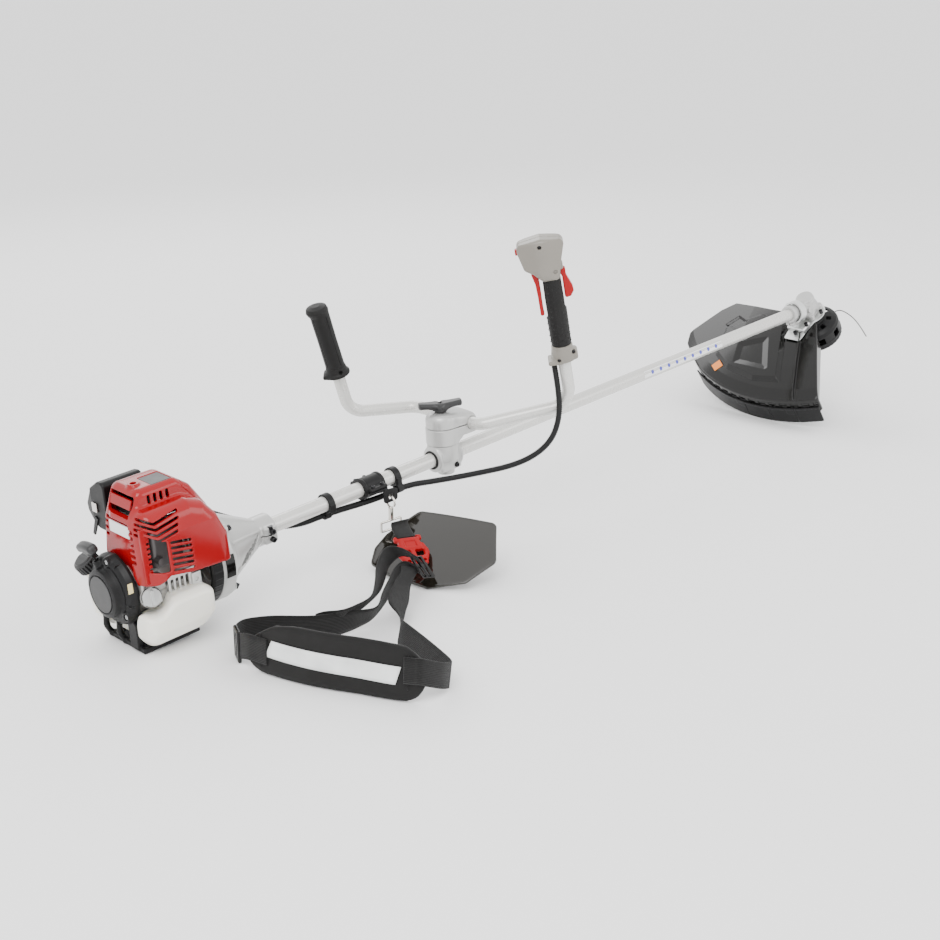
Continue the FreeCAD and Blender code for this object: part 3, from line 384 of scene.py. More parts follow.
def surface_net(grid, low, step):
    """Vertices and quads of the zero level of a grid."""
    size = np.array(grid.shape) - 1
    solid = grid < 0
    filled = sum(solid[a:a + size[0], b:b + size[1], c:c + size[2]].astype(np.int8) for a, b, c in CORNERS)
    cells = np.argwhere((filled > 0) & (filled < 8))
    number = np.full(size, -1, np.int64)
    number[tuple(cells.T)] = np.arange(len(cells))
    values = np.stack([grid[tuple((cells + corner).T)] for corner in CORNERS], 1)
    total = np.zeros((len(cells), 3))
    crossings = np.zeros(len(cells))
    for a, b in EDGES:
        va, vb = values[:, a], values[:, b]
        cut = (va < 0) != (vb < 0)
        t = np.where(cut, va / np.where(cut, va - vb, 1), 0)
        total += np.where(cut[:, None], CORNERS[a] + (CORNERS[b] - CORNERS[a]) * t[:, None], 0)
        crossings += cut
    vertices = low + (cells + total / crossings[:, None]) * step
    quads = []
    for axis in range(3):
        u, v = [np.eye(3, dtype=int)[(axis + turn) % 3] for turn in (1, 2)]
        ahead = np.eye(3, dtype=int)[axis]
        inner = solid[1:-1, 1:-1, 1:-1]
        after = solid[tuple(slice(1 + s, n + s) for s, n in zip(ahead, np.array(grid.shape) - 1))]
        spots = np.argwhere(inner != after) + 1
        four = [number[tuple((spots - shift).T)] for shift in (np.zeros(3, int), u, u + v, v)]
        four = np.stack(four, 1)
        outward = solid[tuple(spots.T)]
        quads.append(np.where(outward[:, None], four, four[:, ::-1]))
    return vertices, np.concatenate(quads)


def gradient(field, points, reach=0.15):
    """The slope of a field at points, by central differences."""
    slopes = []
    for axis in range(3):
        shift = np.zeros(3, np.float32)
        shift[axis] = reach
        slopes.append((field(points + shift) - field(points - shift)) / (2 * reach))
    return np.stack(slopes, 1)


def linked(name, data):
    """A new object in the scene."""
    piece = bpy.data.objects.new(name, data)
    bpy.context.scene.collection.objects.link(piece)
    return piece


def smooth_mesh(name, points, faces):
    """A mesh with smooth faces, from points in metres."""
    mesh = bpy.data.meshes.new(name)
    mesh.from_pydata(points, [], faces)
    mesh.polygons.foreach_set("use_smooth", [True] * len(faces))
    return mesh


FIT_ROUNDS = 3             # times that the vertices are moved onto the surface
FIT_REACH = 0.45           # the furthest that a vertex moves in a round, in steps


def sculpt(name, field, low, high, step, material, body, stands_for=(), pose=POSE, where=None):
    """The zero level of a field as a smooth mesh that rides on a body.

    The field and its box are in the pose's frame, or in the frame of the placement where.
    """
    if where:
        drawn, (low, high) = field, bounds_of(where, low, high)

        def field(p):
            return drawn(inside(p, where))
    step = step * DETAIL
    low = np.array(low, float) - 2 * step
    count = np.ceil((np.array(high, float) + 2 * step - low) / step).astype(int) + 1
    points, quads = surface_net(sampled(field, low, count, step), low, step)
    points = points.astype(np.float32)
    for _ in range(FIT_ROUNDS):
        slope = gradient(field, points)
        length = np.maximum((slope ** 2).sum(1), 0.05)
        move = slope * (field(points) / length)[:, None]
        reach = np.maximum(np.linalg.norm(move, axis=1) / (FIT_REACH * step), 1)
        points = points - move / reach[:, None]
    normals = gradient(field, points)
    normals /= np.maximum(np.linalg.norm(normals, axis=1), 1e-6)[:, None]
    mesh = smooth_mesh(name, (points * MM).tolist(), quads.tolist())
    mesh.normals_split_custom_set_from_vertices(normals.tolist())
    return finished(name, mesh, material, body, stands_for, pose)


def finished(name, mesh, material, body, stands_for=(), pose=POSE):
    """Links a mesh drawn in metres in a pose's frame, gives it its material, hides the CAD parts that it
    stands for and puts it on its body.
    """
    mesh.transform(pose)
    piece = linked(name, mesh)
    mesh.materials.append(material)
    if stands_for:
        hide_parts(*stands_for)
    if body:
        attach(piece, body)
    return piece


# ---------------------------------------------------------------- engine

def cover_outside(p):
    """The red cover's outer form: a slim core over the cylinder and a bulge over the muffler."""
    x, y, z = p.T
    side = [(-47, 100), (-46, 125), (-42, 202), (-27, 248), (-18, 252), (42, 252), (66, 234), (88, 198),
            (102, 164), (106, 130), (104, 100)]
    core = prism(p, (0, 2), side, -200, 200, 4, 14)
    right = -58 + (z - 116) * 0.05
    left = 42 - (z - 116) * 0.12
    core = both(core, (right - y) * 0.99, 14)
    core = both(core, (y - left) * 0.99, 22)
    haunch = [(-47, 100), (-46, 200), (-38, 226), (40, 227), (66, 216), (84, 192), (98, 158), (100, 100)]
    bulge = prism(p, (0, 2), haunch, -200, 200, 4, 16)
    bulge = both(bulge, -91 - y + np.maximum(z - 190, 0) * 0.25, 22)
    bulge = both(bulge, y - 5, 8)
    corner = (-(x + 47) * 0.8 - (y + 66) * 0.6)
    bulge = both(bulge, corner, 10)
    return join(core, bulge, 7)


def from_rear(p):
    """How far a point is in front of the cover's sloping rear face."""
    return p[:, 0] + 47 - np.interp(p[:, 2], (116, 202, 248), (0.6, 4.8, 20))


def red_cover(p):
    """The engine's red top cover: a thin shell with its panel, window, slots and louvres."""
    x, y, z = p.T
    outer = cover_outside(p)
    rear = from_rear(p)
    # the panel between the two rear pillars is set back
    panel = both(both(rear - 3.2, brick(p, (-80, -47, 90), (0, 27, 206), 3), 1), -rear - 30, 1)
    solid = carve(outer, panel, 1.5)
    solid = carve(solid, np.maximum(outer + 3.4, 7.2 - rear), 1.5)
    # openings behind the top plaque, between the pillars
    solid = carve(solid, brick(p, (-80, -45, 213), (-14, 15, 243), 3), 1.2)
    plaque = both(brick(p, (-60, -50, 222), (0, 18, 236), 2), np.abs(rear - 4.5) - 2, 1)
    solid = join(solid, both(plaque, brick(p, (-80, -38, 200), (0, 20, 250), 1), 1), 1)
    solid = carve(solid, brick(p, (-80, -44, 200), (-14, 20, 205), 1.5), 1)
    # slots beside the rear panel
    for i in range(6):
        solid = carve(solid, brick(p, (-80, -57, 147 + 9.5 * i), (-20, -47, 152.5 + 9.5 * i), 1.6), 1)
    for i in range(3):
        solid = carve(solid, brick(p, (-80, 17, 172 + 10 * i), (-20, 27, 176.5 + 10 * i), 1.6), 1)
    # the window on the corner, and the louvres behind it
    slant = z + (x + 30) * 0.14
    window = prism(np.stack((x, slant, y), 1), (0, 1), [(-40, 137), (-11, 137), (-11, 184), (-40, 190)],
                   -130, -62, 2, 3)
    solid = carve(solid, window, 2)
    slot = np.stack((x, z + (x - 10) * 0.19, y), 1)
    for i in range(6):
        solid = carve(solid, brick(slot, (-6, 129.5 + 8.6 * i, -130), (29, 134 + 8.6 * i, -70), 2), 1)
    slot = np.stack((x, z + np.where(x < -24, (x + 24) * 0.5, (x + 24) * -0.16), y), 1)
    for i in range(4):
        solid = carve(solid, brick(slot, (-60, 184 + 8.4 * i, -130), (10 + 3 * i, 188 + 8.4 * i, -60), 1.9), 1)
    # the deck's blank plate, screw boss and four slots
    deck = both(brick(p, (5, -42, 245), (40, -4, 260), 2), -(z - 250.6), 0.6)
    solid = carve(solid, deck, 0.6)
    solid = join(solid, rod(p, (-13, -24, 240), (-13, -24, 255.5), (12.5, 8.6), 1.5), 3)
    solid = carve(solid, rod(p, (-13, -24, 236), (-13, -24, 270), 4.6, 0.5), 1)
    for i in range(4):
        solid = carve(solid, brick(p, (-10 + 10.3 * i, -70, 229), (-5 + 10.3 * i, -44, 241.5), 1.8), 1)
    # a raised rim along the front, the open front and the lower edge
    rim = np.abs(outer) + np.abs(x - np.interp(z, (120, 170, 200, 235), (96, 93, 78, 50)))
    solid = carve(solid, rim - 1.0, 1.2)
    solid = carve(solid, rod(p, (66, 0, AXIS), (140, 0, AXIS), 75.4, 1), 1)
    solid = carve(solid, rod(p, (-80, 0, AXIS), (-42, 0, AXIS), 58, 1), 1)
    hem = np.interp(x, (-46, -30, -12, 25, 77, 106), (115, 118, 128, 121, 117, 114)).astype(np.float32)
    return carve(solid, z - hem, 1.5)


def make_cover():
    """The red cover with what shows on it and through its window."""
    sculpt("engine_cover", red_cover, (-50, -96, 104), (124, 46, 258), 1.15, RED, "machine",
           ("top_cover",))

    def sticker(p):
        return both(brick(p, (-60, -40, 181), (-30, 12, 199), 1.5), np.abs(from_rear(p) - 2.8) - 0.8, 0.3)
    sculpt("cover_label", sticker, (-46, -41, 180), (-36, 13, 200.5), 0.7, WHITE, "machine")

    def plate(p):
        return brick(p, (5.8, -41.2, 249.5), (39.2, -4.8, 251.2), 0.5)
    sculpt("deck_plate", plate, (5, -42, 249), (40, -4, 252), 0.8, LABEL_GREY, "machine")

    def inner_wall(p):
        wall = brick(p, (-45, -76, 120), (-31, -72, 206), 1)
        for i in range(6):
            wall = carve(wall, brick(p, (-36, -80, 140 + 8 * i), (-30, -70, 143.5 + 8 * i), 0.8), 0.6)
        return wall
    sculpt("window_wall", inner_wall, (-46, -77, 119), (-30, -71, 207), 0.9, RED, "machine")


ALONG = facing((0, 0, AXIS), (1, 0, 0), (0, 0, 1))
STARTER = facing((-71, 22, 150), (-0.35, 0.2, 0.91), (0, 1, 0))
FUEL = facing((-34, 72, 84), (-0.52, 0.12, 0.85), (0, 1, 0))
OIL = facing((-27, -40, 87), (-0.28, -0.92, 0.28), (0, 0, 1))
CORE = -9              # a radius past the axis, so that a turned outline has no hole
TUBE = 13.1            # the bore of what sits on the 26 mm tube


def turned(p, points, edge=1.0):
    """An outline of (radius, height) points turned about the Z axis, with round edges."""
    return outline(np.hypot(p[:, 0], p[:, 1]), p[:, 2], drawn_in(list(points), edge)) - edge


def folded(p, count, shift=0.0):
    """Points turned about Z into the first of several equal sectors, centred on the X axis."""
    angle = np.arctan2(p[:, 1], p[:, 0]) - shift
    part = 2 * math.pi / count
    angle = (angle + part / 2) % part - part / 2
    radius = np.hypot(p[:, 0], p[:, 1])
    return np.stack((radius * np.cos(angle), radius * np.sin(angle), p[:, 2]), 1)


def socket_screw(name, origin, direction, radius, height, body, material=SCREW):
    """A cap screw with a hexagon socket, standing on a surface."""
    where = facing(origin, direction, (0.31, 0.52, 0.79))

    def field(p):
        q = inside(p, where)
        head = rod(q, (0, 0, -2), (0, 0, height), radius, 0.5)
        flat = folded(q, 6)[:, 0] - radius * 0.5
        return carve(head, np.maximum(flat, height * 0.35 - q[:, 2]), 0.3)
    reach = radius + height + 2
    low, high = [c - reach for c in origin], [c + reach for c in origin]
    sculpt(name, field, low, high, 0.55, material, body)


def socket_screws(name, places, direction, radius, height, body, where=None):
    """Numbered screws at places, given in the machine's frame or in the frame of the placement where."""
    for i, place in enumerate(places):
        spot = tuple(where @ Vector(place)) if where else place
        socket_screw("%s_%d" % (name, i + 1), spot, direction, radius, height, body)


LUG_TURN, LUG_REACH = 0.12, 49         # the recoil cover's three screws about the axis


def recoil_cover(p):
    """The round cover of the starter, with three screw lugs, five ribs and the rope's guide."""
    q = inside(p, ALONG)
    q = q * np.array((1, 1, -1), np.float32) - np.array((0, 0, 47.5), np.float32)
    shape = turned(q, [(CORE, 0), (56, 0), (56, 5), (52.5, 13), (46, 17.5), (42, 17), (39, 21), (37, 29.5),
                       (32, 31), (CORE, 31)], 1.2)
    lug = folded(q, 3, LUG_TURN)
    shape = join(shape, rod(lug, (LUG_REACH, 0, 0), (LUG_REACH, 0, 19), 8, 1.5), 4)
    shape = carve(shape, rod(lug, (LUG_REACH, 0, 13), (LUG_REACH, 0, 24), 5, 0.5), 1)
    rib = folded(q, 5, 0.5)
    shape = join(shape, brick(rib, (30, -0.9, 0), (55, 0.9, 17), 0.6), 1.5)
    guide = rod(p, (-59, 15, 122), (-67, 19.5, 141), (9, 7), 2)
    shape = join(shape, guide, 4)
    shape = carve(shape, rod(p, (-60, 16, 126), (-70, 20.5, 149), 4.2, 0.5), 1)
    return carve(shape, turned(q, [(28.5, 29.8), (30, 29.8), (30, 35), (28.5, 35)], 0.2), 0.5)


def tank_shape(p):
    """The fuel tank, which wraps round the crankcase and leaves room for both caps."""
    side = [(-57, 34), (-42, 10.5), (34, 10.5), (50, 26), (60, 46), (60, 78), (46, 94), (-20, 94), (-34, 78),
            (-57, 77)]
    ends = [(-60, 10.5), (54, 10.5), (76, 26), (85, 46), (85, 80), (78, 94), (-80, 94), (-90, 82), (-90, 44),
            (-80, 26)]
    shape = both(prism(p, (0, 2), side, -200, 200, 4, 11), prism(p, (1, 2), ends, -200, 200, 4, 11), 16)
    radius, _ = around_tube(p)
    shape = carve(shape, radius - 49, 8)
    shape = carve(shape, both(radius - 60, p[:, 0] + 44, 4), 8)
    shape = carve(shape, brick(p, (-80, -46, -10), (-41, 46, 60), 4), 8)
    q = inside(p, OIL)
    shape = carve(shape, rod(q, (0, 0, 0), (0, 0, 120), (22, 34), 3), 12)
    neck = inside(p, FUEL)
    return join(shape, rod(neck, (0, 0, 0), (0, 0, 30), 16, 1), 6)


def skid_shape(p):
    """The skid under the tank, with two arms up to the recoil cover."""
    base = brick(p, (-49, -47, 0.1), (48, 47, 3.6), 1.5)
    rim = brick(p, (-49, -47, 0.1), (48, 47, 8), 2)
    rim = carve(rim, brick(p, (-44, -42, 2), (60, 42, 20), 4), 2)
    shape = join(base, rim, 3)
    ramp = [(40, 0.1), (50, 1.5), (67, 20), (66, 24), (62, 22), (46, 5.5), (38, 3.6)]
    shape = join(shape, prism(p, (0, 2), ramp, -32, 32, 1), 3)
    for y0, y1, top in ((46, 46, 54), (8, 10, 44)):
        bend_at = (-54, (y0 + y1) / 2, 20)
        arm = join(rod(p, (-46, y0, 3), bend_at, 4.5, 2), rod(p, bend_at, (-50.5, y1, top), 4.5, 2), 5)
        shape = join(shape, arm, 5)
    foot = prism(p, (1, 2), [(-36, 2), (-14, 2), (-14, 50), (-30, 52), (-38, 44)], -52, -41, 2, 3)
    shape = join(shape, foot, 2)
    for i in range(3):
        shape = carve(shape, brick(p, (-30 + 22 * i, -20, -5), (-18 + 22 * i, 20, 10), 3), 1)
    return shape


def shroud_shape(p):
    """The silver ring around the fan and the cone that carries the tube."""
    q = inside(p, ALONG)
    shape = turned(q, [(30, 86), (74.5, 86), (75.2, 90), (75.2, 108), (70, 114), (63, 119), (57, 128),
                       (45, 152), (32, 177), (26, 190), (24.5, 194), (24.5, 224), (TUBE, 224),
                       (TUBE, 180)], 1.6)
    foot = folded(q, 4, 0.75)
    shape = join(shape, rod(foot, (67, 0, 100), (67, 0, 118), 7, 2), 5)
    web = folded(q, 8, 0.35)
    web = prism(web, (0, 2), [(20, 118), (62, 114), (64, 120), (26, 192), (20, 192)], -1.1, 1.1, 0.8)
    shape = join(shape, web, 3)
    x, z = p[:, 0], p[:, 2]
    for i in range(5):
        ahead, above = x - 132 - 9 * i, z - 74 - 3 * i
        along = np.clip(ahead * 0.75 + above * 0.66, 0, 24)
        gill = np.hypot(ahead - along * 0.75, above - along * 0.66) - 1.6
        shape = carve(shape, np.maximum(np.maximum(gill, p[:, 1] + 15), -shape - 3), 1)
    lug = brick(p, (197, -30, 80), (222, 0, 110), 4)
    shape = join(shape, lug, 5)
    shape = carve(shape, brick(p, (192, -50, 94), (240, -8, 96), 0.3), 0.5)
    return carve(shape, rod(q, (0, 0, 150), (0, 0, 260), TUBE, 0.3), 0.5)


def fan_ring(p):
    """The black ring round the flywheel, with its fine ribs."""
    q = inside(p, ALONG)
    shape = turned(q, [(66, 67), (72, 67), (74.5, 70), (74.5, 86), (66, 86)], 1)
    rib = folded(q, 40)
    return join(shape, brick(rib, (73, -0.8, 69), (75, 0.8, 84), 0.5), 0.8)


CLEANER_SIDE = [(42, 242), (62, 239), (88, 222), (103, 196), (102, 184), (90, 169), (70, 162), (44, 162)]


def cleaner_case(p):
    """The half of the air cleaner that is screwed to the engine."""
    shape = prism(p, (1, 2), CLEANER_SIDE, -26, 43, 3, 9)
    return both(shape, p[:, 1] - 83.9, 1)


def cleaner_cover(p):
    """The half of the air cleaner that swings open."""
    shape = prism(p, (1, 2), CLEANER_SIDE, -24, 42, 4, 9)
    shape = both(shape, 165 - p[:, 2], 3)
    shape = both(shape, 84.4 - p[:, 1], 1)
    for i in range(4):
        shape = carve(shape, brick(p, (-16 + 13 * i, 95, 172), (-11 + 13 * i, 120, 236), 1.5), 1.5)
    return shape


def make_engine():
    """Everything on the engine apart from the red cover."""
    sculpt("recoil_dome", recoil_cover, (-81, -58, 36), (-46, 58, 153), 1.1, BLACK, "machine",
           ("recoil_cover",))

    def badge(p):
        return rod(p, (-77, 0, AXIS), (-79.4, 0, AXIS), 28.3, 0.8)
    sculpt("recoil_badge", badge, (-80, -29, 66), (-76, 29, 124), 0.9, LABEL_GREY, "machine")
    for i in range(3):
        angle = LUG_TURN + i * math.tau / 3
        place = (-62.5, -math.sin(angle) * LUG_REACH, AXIS + math.cos(angle) * LUG_REACH)
        socket_screw("recoil_screw_%d" % (i + 1), place, (-1, 0, 0), 3.6, 3, "machine", STEEL)
    sculpt("side_label", lambda p: brick(p, (-63, -53.6, 106), (-55, -52.6, 122), 0.4), (-64, -55, 105),
           (-54, -51, 123), 0.6, CREAM, "machine")
    sculpt("tank_shell", tank_shape, (-60, -92, 8), (64, 90, 120), 1.5, MILKY, "machine",
           ("fuel_tank",))
    sculpt("skid_shell", skid_shape, (-60, -50, 0), (70, 53, 60), 1.2, BLACK, "machine",
           ("tank_guard",))
    sculpt("clutch_shroud", shroud_shape, (84, -78, 18), (226, 78, 172), 1.3, SILVER, "machine",
           ("clutch_housing",))
    sculpt("fan_ring", fan_ring, (66, -76, 19), (87, 76, 171), 1.2, BLACK, "machine",
           ("fan_cover",))

    def ring_label(p):
        q = inside(p, ALONG)
        shape = turned(q, [(74.4, 91), (76.2, 91), (76.2, 107), (74.4, 107)], 0.3)
        return np.maximum(shape, (np.abs(around_tube(p)[1] - 0.02) - 0.24) * 70)
    sculpt("ring_label", ring_label, (90, -77, 74), (108, -70, 118), 0.7, BLACK_GLOSS, "machine")
    shroud_screws = (((210, -30, 101), (0, -1, 0.1)), ((210, -30, 88), (0, -1, -0.1)),
                     ((118, -47, 143), (0.6, -0.6, 0.5)), ((118, -50, 50), (0.6, -0.6, -0.5)))
    for i, (place, way) in enumerate(shroud_screws):
        socket_screw("shroud_screw_%d" % (i + 1), place, way, 4.6, 6, "machine")

    def plate(p):
        shape = brick(p, (-4, -65, 80), (43, -61.5, 117), 1.2)
        for i in range(4):
            shape = carve(shape, brick(p, (8.6 * i, -70, 86), (5.2 + 8.6 * i, -55, 108), 1.8), 0.8)
        shape = join(shape, brick(p, (34, -70, 84), (50, -60, 108), 2), 2)
        return carve(shape, rod(p, (42, -75, 96), (42, -66, 96), 3.2, 0.4), 0.6)
    sculpt("cooling_plate", plate, (-6, -72, 78), (52, -58, 119), 0.9, ZINC, "machine")

    def casting(p):
        shape = brick(p, (-45, -60, 97), (-4, -34, 118), 3)
        shape = join(shape, brick(p, (-45, -56, 88), (-24, -34, 112), 3), 3)
        shape = join(shape, brick(p, (-20, -58, 60), (30, -44, 100), 4), 4)
        return carve(shape, brick(p, (-40, -64, 108), (-12, -58, 112), 1), 1)
    sculpt("side_casting", casting, (-48, -64, 56), (34, -32, 120), 1.3, CAST, "machine")

    def boss(p):
        q = inside(p, OIL)
        shape = join(rod(q, (0, 0, 2), (0, 0, 27.5), (18, 16), 1.5), rod(q, (12, 0, 6), (16, 0, 27), 4, 1), 3)
        return carve(shape, rod(q, (0, 0, 12), (0, 0, 40), 11.5, 0.4), 0.5)
    sculpt("oil_boss", boss, (-58, -84, 66), (-8, -36, 120), 1.1, CAST, "machine")

    def seal(p):
        q = inside(p, OIL)
        return np.hypot(np.hypot(q[:, 0], q[:, 1]) - 14.4, q[:, 2] - 28) - 0.9
    sculpt("oil_seal", seal, (-56, -80, 76), (-16, -50, 114), 0.7, RUBBER, "oil_cap")

    def cap(p):
        q = inside(p, OIL)
        shape = rod(q, (0, 0, 28), (0, 0, 33.5), (14.4, 13.6), 1)
        grip = folded(q, 3)
        shape = join(shape, rod(grip, (13, 0, 28.2), (13, 0, 33), 3, 0.8), 1.5)
        bar = prism(q, (0, 2), [(-12, 32), (12, 32), (10.5, 39.5), (-10.5, 39.5)], -2.4, 2.4, 0.9)
        return join(shape, bar, 1.5)
    sculpt("oil_cap_shell", cap, (-62, -92, 74), (-18, -52, 118), 0.75, CLEAR, "oil_cap",
           ("oil_cap",))
    sculpt("cleaner_case", cleaner_case, (-28, 40, 160), (45, 86, 248), 1.4, BLACK, "machine",
           ("air_cleaner_case",))
    sculpt("cleaner_cover", cleaner_cover, (-29, 83, 160), (46, 105, 240), 1.4, BLACK_GLOSS,
           "air_cleaner_cover", ("air_cleaner_cover",))
    sculpt("cleaner_tab", lambda p: brick(p, (-29, 66, 189), (-26, 79, 204), 1), (-31, 64, 187),
           (-25, 81, 206), 0.7, CHROME, "machine")

    def grip(p):
        q = inside(p, STARTER)
        x, y, z = q.T
        lift = np.square(x / 23) * 3.0
        bar = brick(np.stack((x, y, z - 2 + lift), 1), (-23.2, -8, 5.6), (23.2, 8, 20), 5.5)
        shape = join(bar, rod(q, (0, 0, 0), (0, 0, 10), (6, 7), 1.5), 6)
        for middle in (-9, -13.5, -18, 9, 13.5, 18):
            shape = carve(shape, brick(q, (middle - 0.7, -12, 3), (middle + 0.7, 12, 7.5), 0.5), 0.8)
        return shape
    sculpt("starter_handle", grip, (-96, -8, 142), (-58, 54, 180), 1.0, LABEL_GREY, "starter_grip",
           ("starter_grip",))

    def cap_of_tank(p):
        q = inside(p, FUEL)
        angle = np.arctan2(q[:, 1], q[:, 0])
        ridges = 0.8 * np.cos(22 * angle) * (np.abs(q[:, 2] - 35) < 7.5)
        shape = rod(q, (0, 0, 26.2), (0, 0, 44.5), 18.4, 1.5) - ridges
        shape = join(shape, rod(q, (0, 0, 40), (0, 0, 47), 14.5, 1.5), 2)
        bar = brick(q, (-14, -2.5, 42), (14, 2.5, 47), 1)
        return join(shape, bar, 1)
    sculpt("fuel_cap_shell", cap_of_tank, (-82, 48, 92), (-32, 104, 142), 0.95, LABEL_GREY, "fuel_cap",
           ("fuel_cap",))
    make_starter_rope()


def tube_mesh(name, points, radii, sides, material):
    """A closed tube through points in metres, with its own radius at each point."""
    points = [Vector(point) for point in points]
    vertices, faces = [], []
    side = (points[1] - points[0]).normalized().orthogonal().normalized()
    for i, point in enumerate(points):
        ahead = (points[min(i + 1, len(points) - 1)] - points[max(i - 1, 0)]).normalized()
        side = (side - ahead * side.dot(ahead)).normalized()
        up = ahead.cross(side)
        for k in range(sides):
            angle = 2 * math.pi * k / sides
            vertices.append(point + (side * math.cos(angle) + up * math.sin(angle)) * radii[i])
    for i in range(len(points) - 1):
        for k in range(sides):
            after = (k + 1) % sides
            faces.append((i * sides + k, i * sides + after, (i + 1) * sides + after, (i + 1) * sides + k))
    last = (len(points) - 1) * sides
    faces += [tuple(reversed(range(sides))), tuple(range(last, last + sides))]
    mesh = smooth_mesh(name, [tuple(v) for v in vertices], faces)
    mesh.polygons[len(faces) - 2].use_smooth = mesh.polygons[len(faces) - 1].use_smooth = False
    mesh.materials.append(material)
    return linked(name, mesh)


def make_starter_rope():
    """The rope between the recoil cover's guide and the handle, drawn as a fixed straight tube."""
    start, end = Vector((-67, 20, 140)), Vector((-71.3, 22.2, 151))
    points = [at(start + (end - start) * i / 8) for i in range(9)]
    rope = tube_mesh("starter_rope", points, [1.8 * MM] * 9, 12, WEBBING)
    tuple(points[0])
    tuple(points[8])
    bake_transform(rope)


# ---------------------------------------------------------------- cords

CONDUIT_ROUTE = (
    (754, -137, 250), (755, -144, 212), (746, -154, 158), (723, -148, 114), (678, -120, 86), (609, -66, 75),
    (549, -36, 75), (503, -17, 78), (450, -4, 68), (345, 3, 75), (290, 12, 70), (240, 42, 78), (192, 66, 104),
    (140, 74, 138), (98, 75, 152), (62, 70, 156))
GEAR = Vector((1739, 0, AXIS))
SLOPE = math.radians(58)
DOWN_OUT = Vector((math.cos(SLOPE), 0, -math.sin(SLOPE)))
BACK = Vector((-math.sin(SLOPE), 0, -math.cos(SLOPE)))
LEFT = Vector((0, 1, 0))
OUTPUT = facing(GEAR, DOWN_OUT, BACK)
LINE_ROUTE = [GEAR + DOWN_OUT * 70 - LEFT * right + BACK * back
              for right, back in ((10, -46), (17, -66), (45, -62), (86, -40), (126, -5))]


def nurbs(name, points, thickness=0.0):
    """A curve whose one open NURBS spline has the points, in metres, as its control points."""
    curve = bpy.data.curves.new(name, "CURVE")
    curve.dimensions = "3D"
    spline = curve.splines.new("NURBS")
    spline.points.add(len(points) - 1)
    for control, point in zip(spline.points, points):
        control.co = (*point, 1)
    spline.order_u = 3
    spline.use_endpoint_u = True
    spline.resolution_u = 24
    curve.bevel_depth = thickness / 2
    curve.bevel_resolution = 5
    return linked(name, curve)


def spline_points(points):
    """The route's NURBS spline as a fine list of points."""
    helper = nurbs("route", points)
    mesh = bpy.data.meshes.new_from_object(helper)
    fine = [vertex.co.copy() for vertex in mesh.vertices]
    bpy.data.objects.remove(helper)
    return fine


def even(points, pitch):
    """Points at an even pitch along a fine list of points."""
    result = [points[0]]
    left = pitch
    for a, b in zip(points, points[1:]):
        length = (b - a).length
        while left < length:
            result.append(a + (b - a) * (left / length))
            left += pitch
        left -= length
    result.append(points[-1])
    return result


RING_PITCH = 0.9 * MM
RINGS_PER_RIDGE = 3.6


def make_cords():
    """The throttle's conduit, the free end of the cutting line and the conduit's ties."""
    path = spline_points([at(point) for point in CONDUIT_ROUTE])
    rings = even(path, RING_PITCH)
    radii = [(5.0 - 0.6 * math.cos(i * math.tau / RINGS_PER_RIDGE)) * MM for i in range(len(rings))]
    conduit = tube_mesh("corrugated_conduit", rings, radii, 20, BLACK)
    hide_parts("throttle_conduit")
    tuple(at((540, -30, 75)))
    tuple(at((740, -150, 160)))
    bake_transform(conduit)
    tuple(path[0])
    line = nurbs("cutting_line", [at(point) for point in LINE_ROUTE], 2.4 * MM)
    line.data.use_fill_caps = True
    line.data.materials.append(NYLON)
    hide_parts("trimmer_line")
    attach(line, "output")
    tuple(at(LINE_ROUTE[0]))
    cable_tie("cable_tie_1", 344, 3.0, 74.0)
    cable_tie("cable_tie_2", 489, -14.0, 77.0)


def cable_tie(name, x, across, drop):
    """A wide black clip around the tube that also holds the conduit, at (across, drop) below it."""

    def field(p):
        q = p - np.array((x, 0, 0), np.float32)
        big, _ = around_tube(q)
        small = np.hypot(q[:, 1] - across, q[:, 2] - drop)
        shape = join(np.abs(big - 15) - 1.7, np.abs(small - 6.6) - 1.5, 4)
        shape = np.maximum(np.maximum(shape, 13.2 - big), 5.3 - small)
        shape = np.hypot(np.maximum(shape + 0.6, 0), np.maximum(np.abs(q[:, 0]) - 5.4, 0)) - 0.6
        shape = join(shape, brick(q, (-5.5, -19, AXIS - 12), (5.5, -13, AXIS + 2), 1.5), 2)
        return carve(shape, big - TUBE, 0.2)
    low, high = (x - 8, -24, drop - 11), (x + 8, 20, AXIS + 19)
    sculpt(name, field, low, high, 0.9, BLACK, "machine")


# ---------------------------------------------------------------- handle

POST = 609
BAR_X, BAR_Z = 653, 150
BAR_SEAT = 11.3                             # the radius that clamps the handlebar
BAR_POINTS = [Vector(point) for point in ((499.5, 175, 357.5), (548, 175, 156), (BAR_X, 112, BAR_Z),
                                          (BAR_X, -49, BAR_Z), (779, -150, 175), (735, -150, 446))]
LEFT_AXIS = (BAR_POINTS[0] - BAR_POINTS[1]).normalized()
RIGHT_AXIS = (BAR_POINTS[5] - BAR_POINTS[4]).normalized()
TRIGGER_SIDE = (-0.71, 0.70, 0)
LEFT_GRIP = facing(BAR_POINTS[1] + LEFT_AXIS * 76, LEFT_AXIS, TRIGGER_SIDE)
RIGHT_GRIP = facing(BAR_POINTS[4], RIGHT_AXIS, TRIGGER_SIDE)
POST_RADIUS = 27.5


def plan_nose(p):
    """The pear-shaped plan of the handle holder."""
    u, v = p[:, 0] - POST, np.abs(p[:, 1])
    post = np.hypot(u, v) - POST_RADIUS
    nose = outline(u, v, drawn_in([(-4, -60), (60, -60), (60, 26), (52, 31), (30, 31), (0, 27)], 3)) - 3
    return join(post, nose, 6)


def slab(plan, z, low, high, edge):
    """A plan raised from one height to another, with round rims."""
    cap = np.abs(z - (low + high) / 2) - (high - low) / 2 + edge
    return capped(plan + edge, cap, edge)


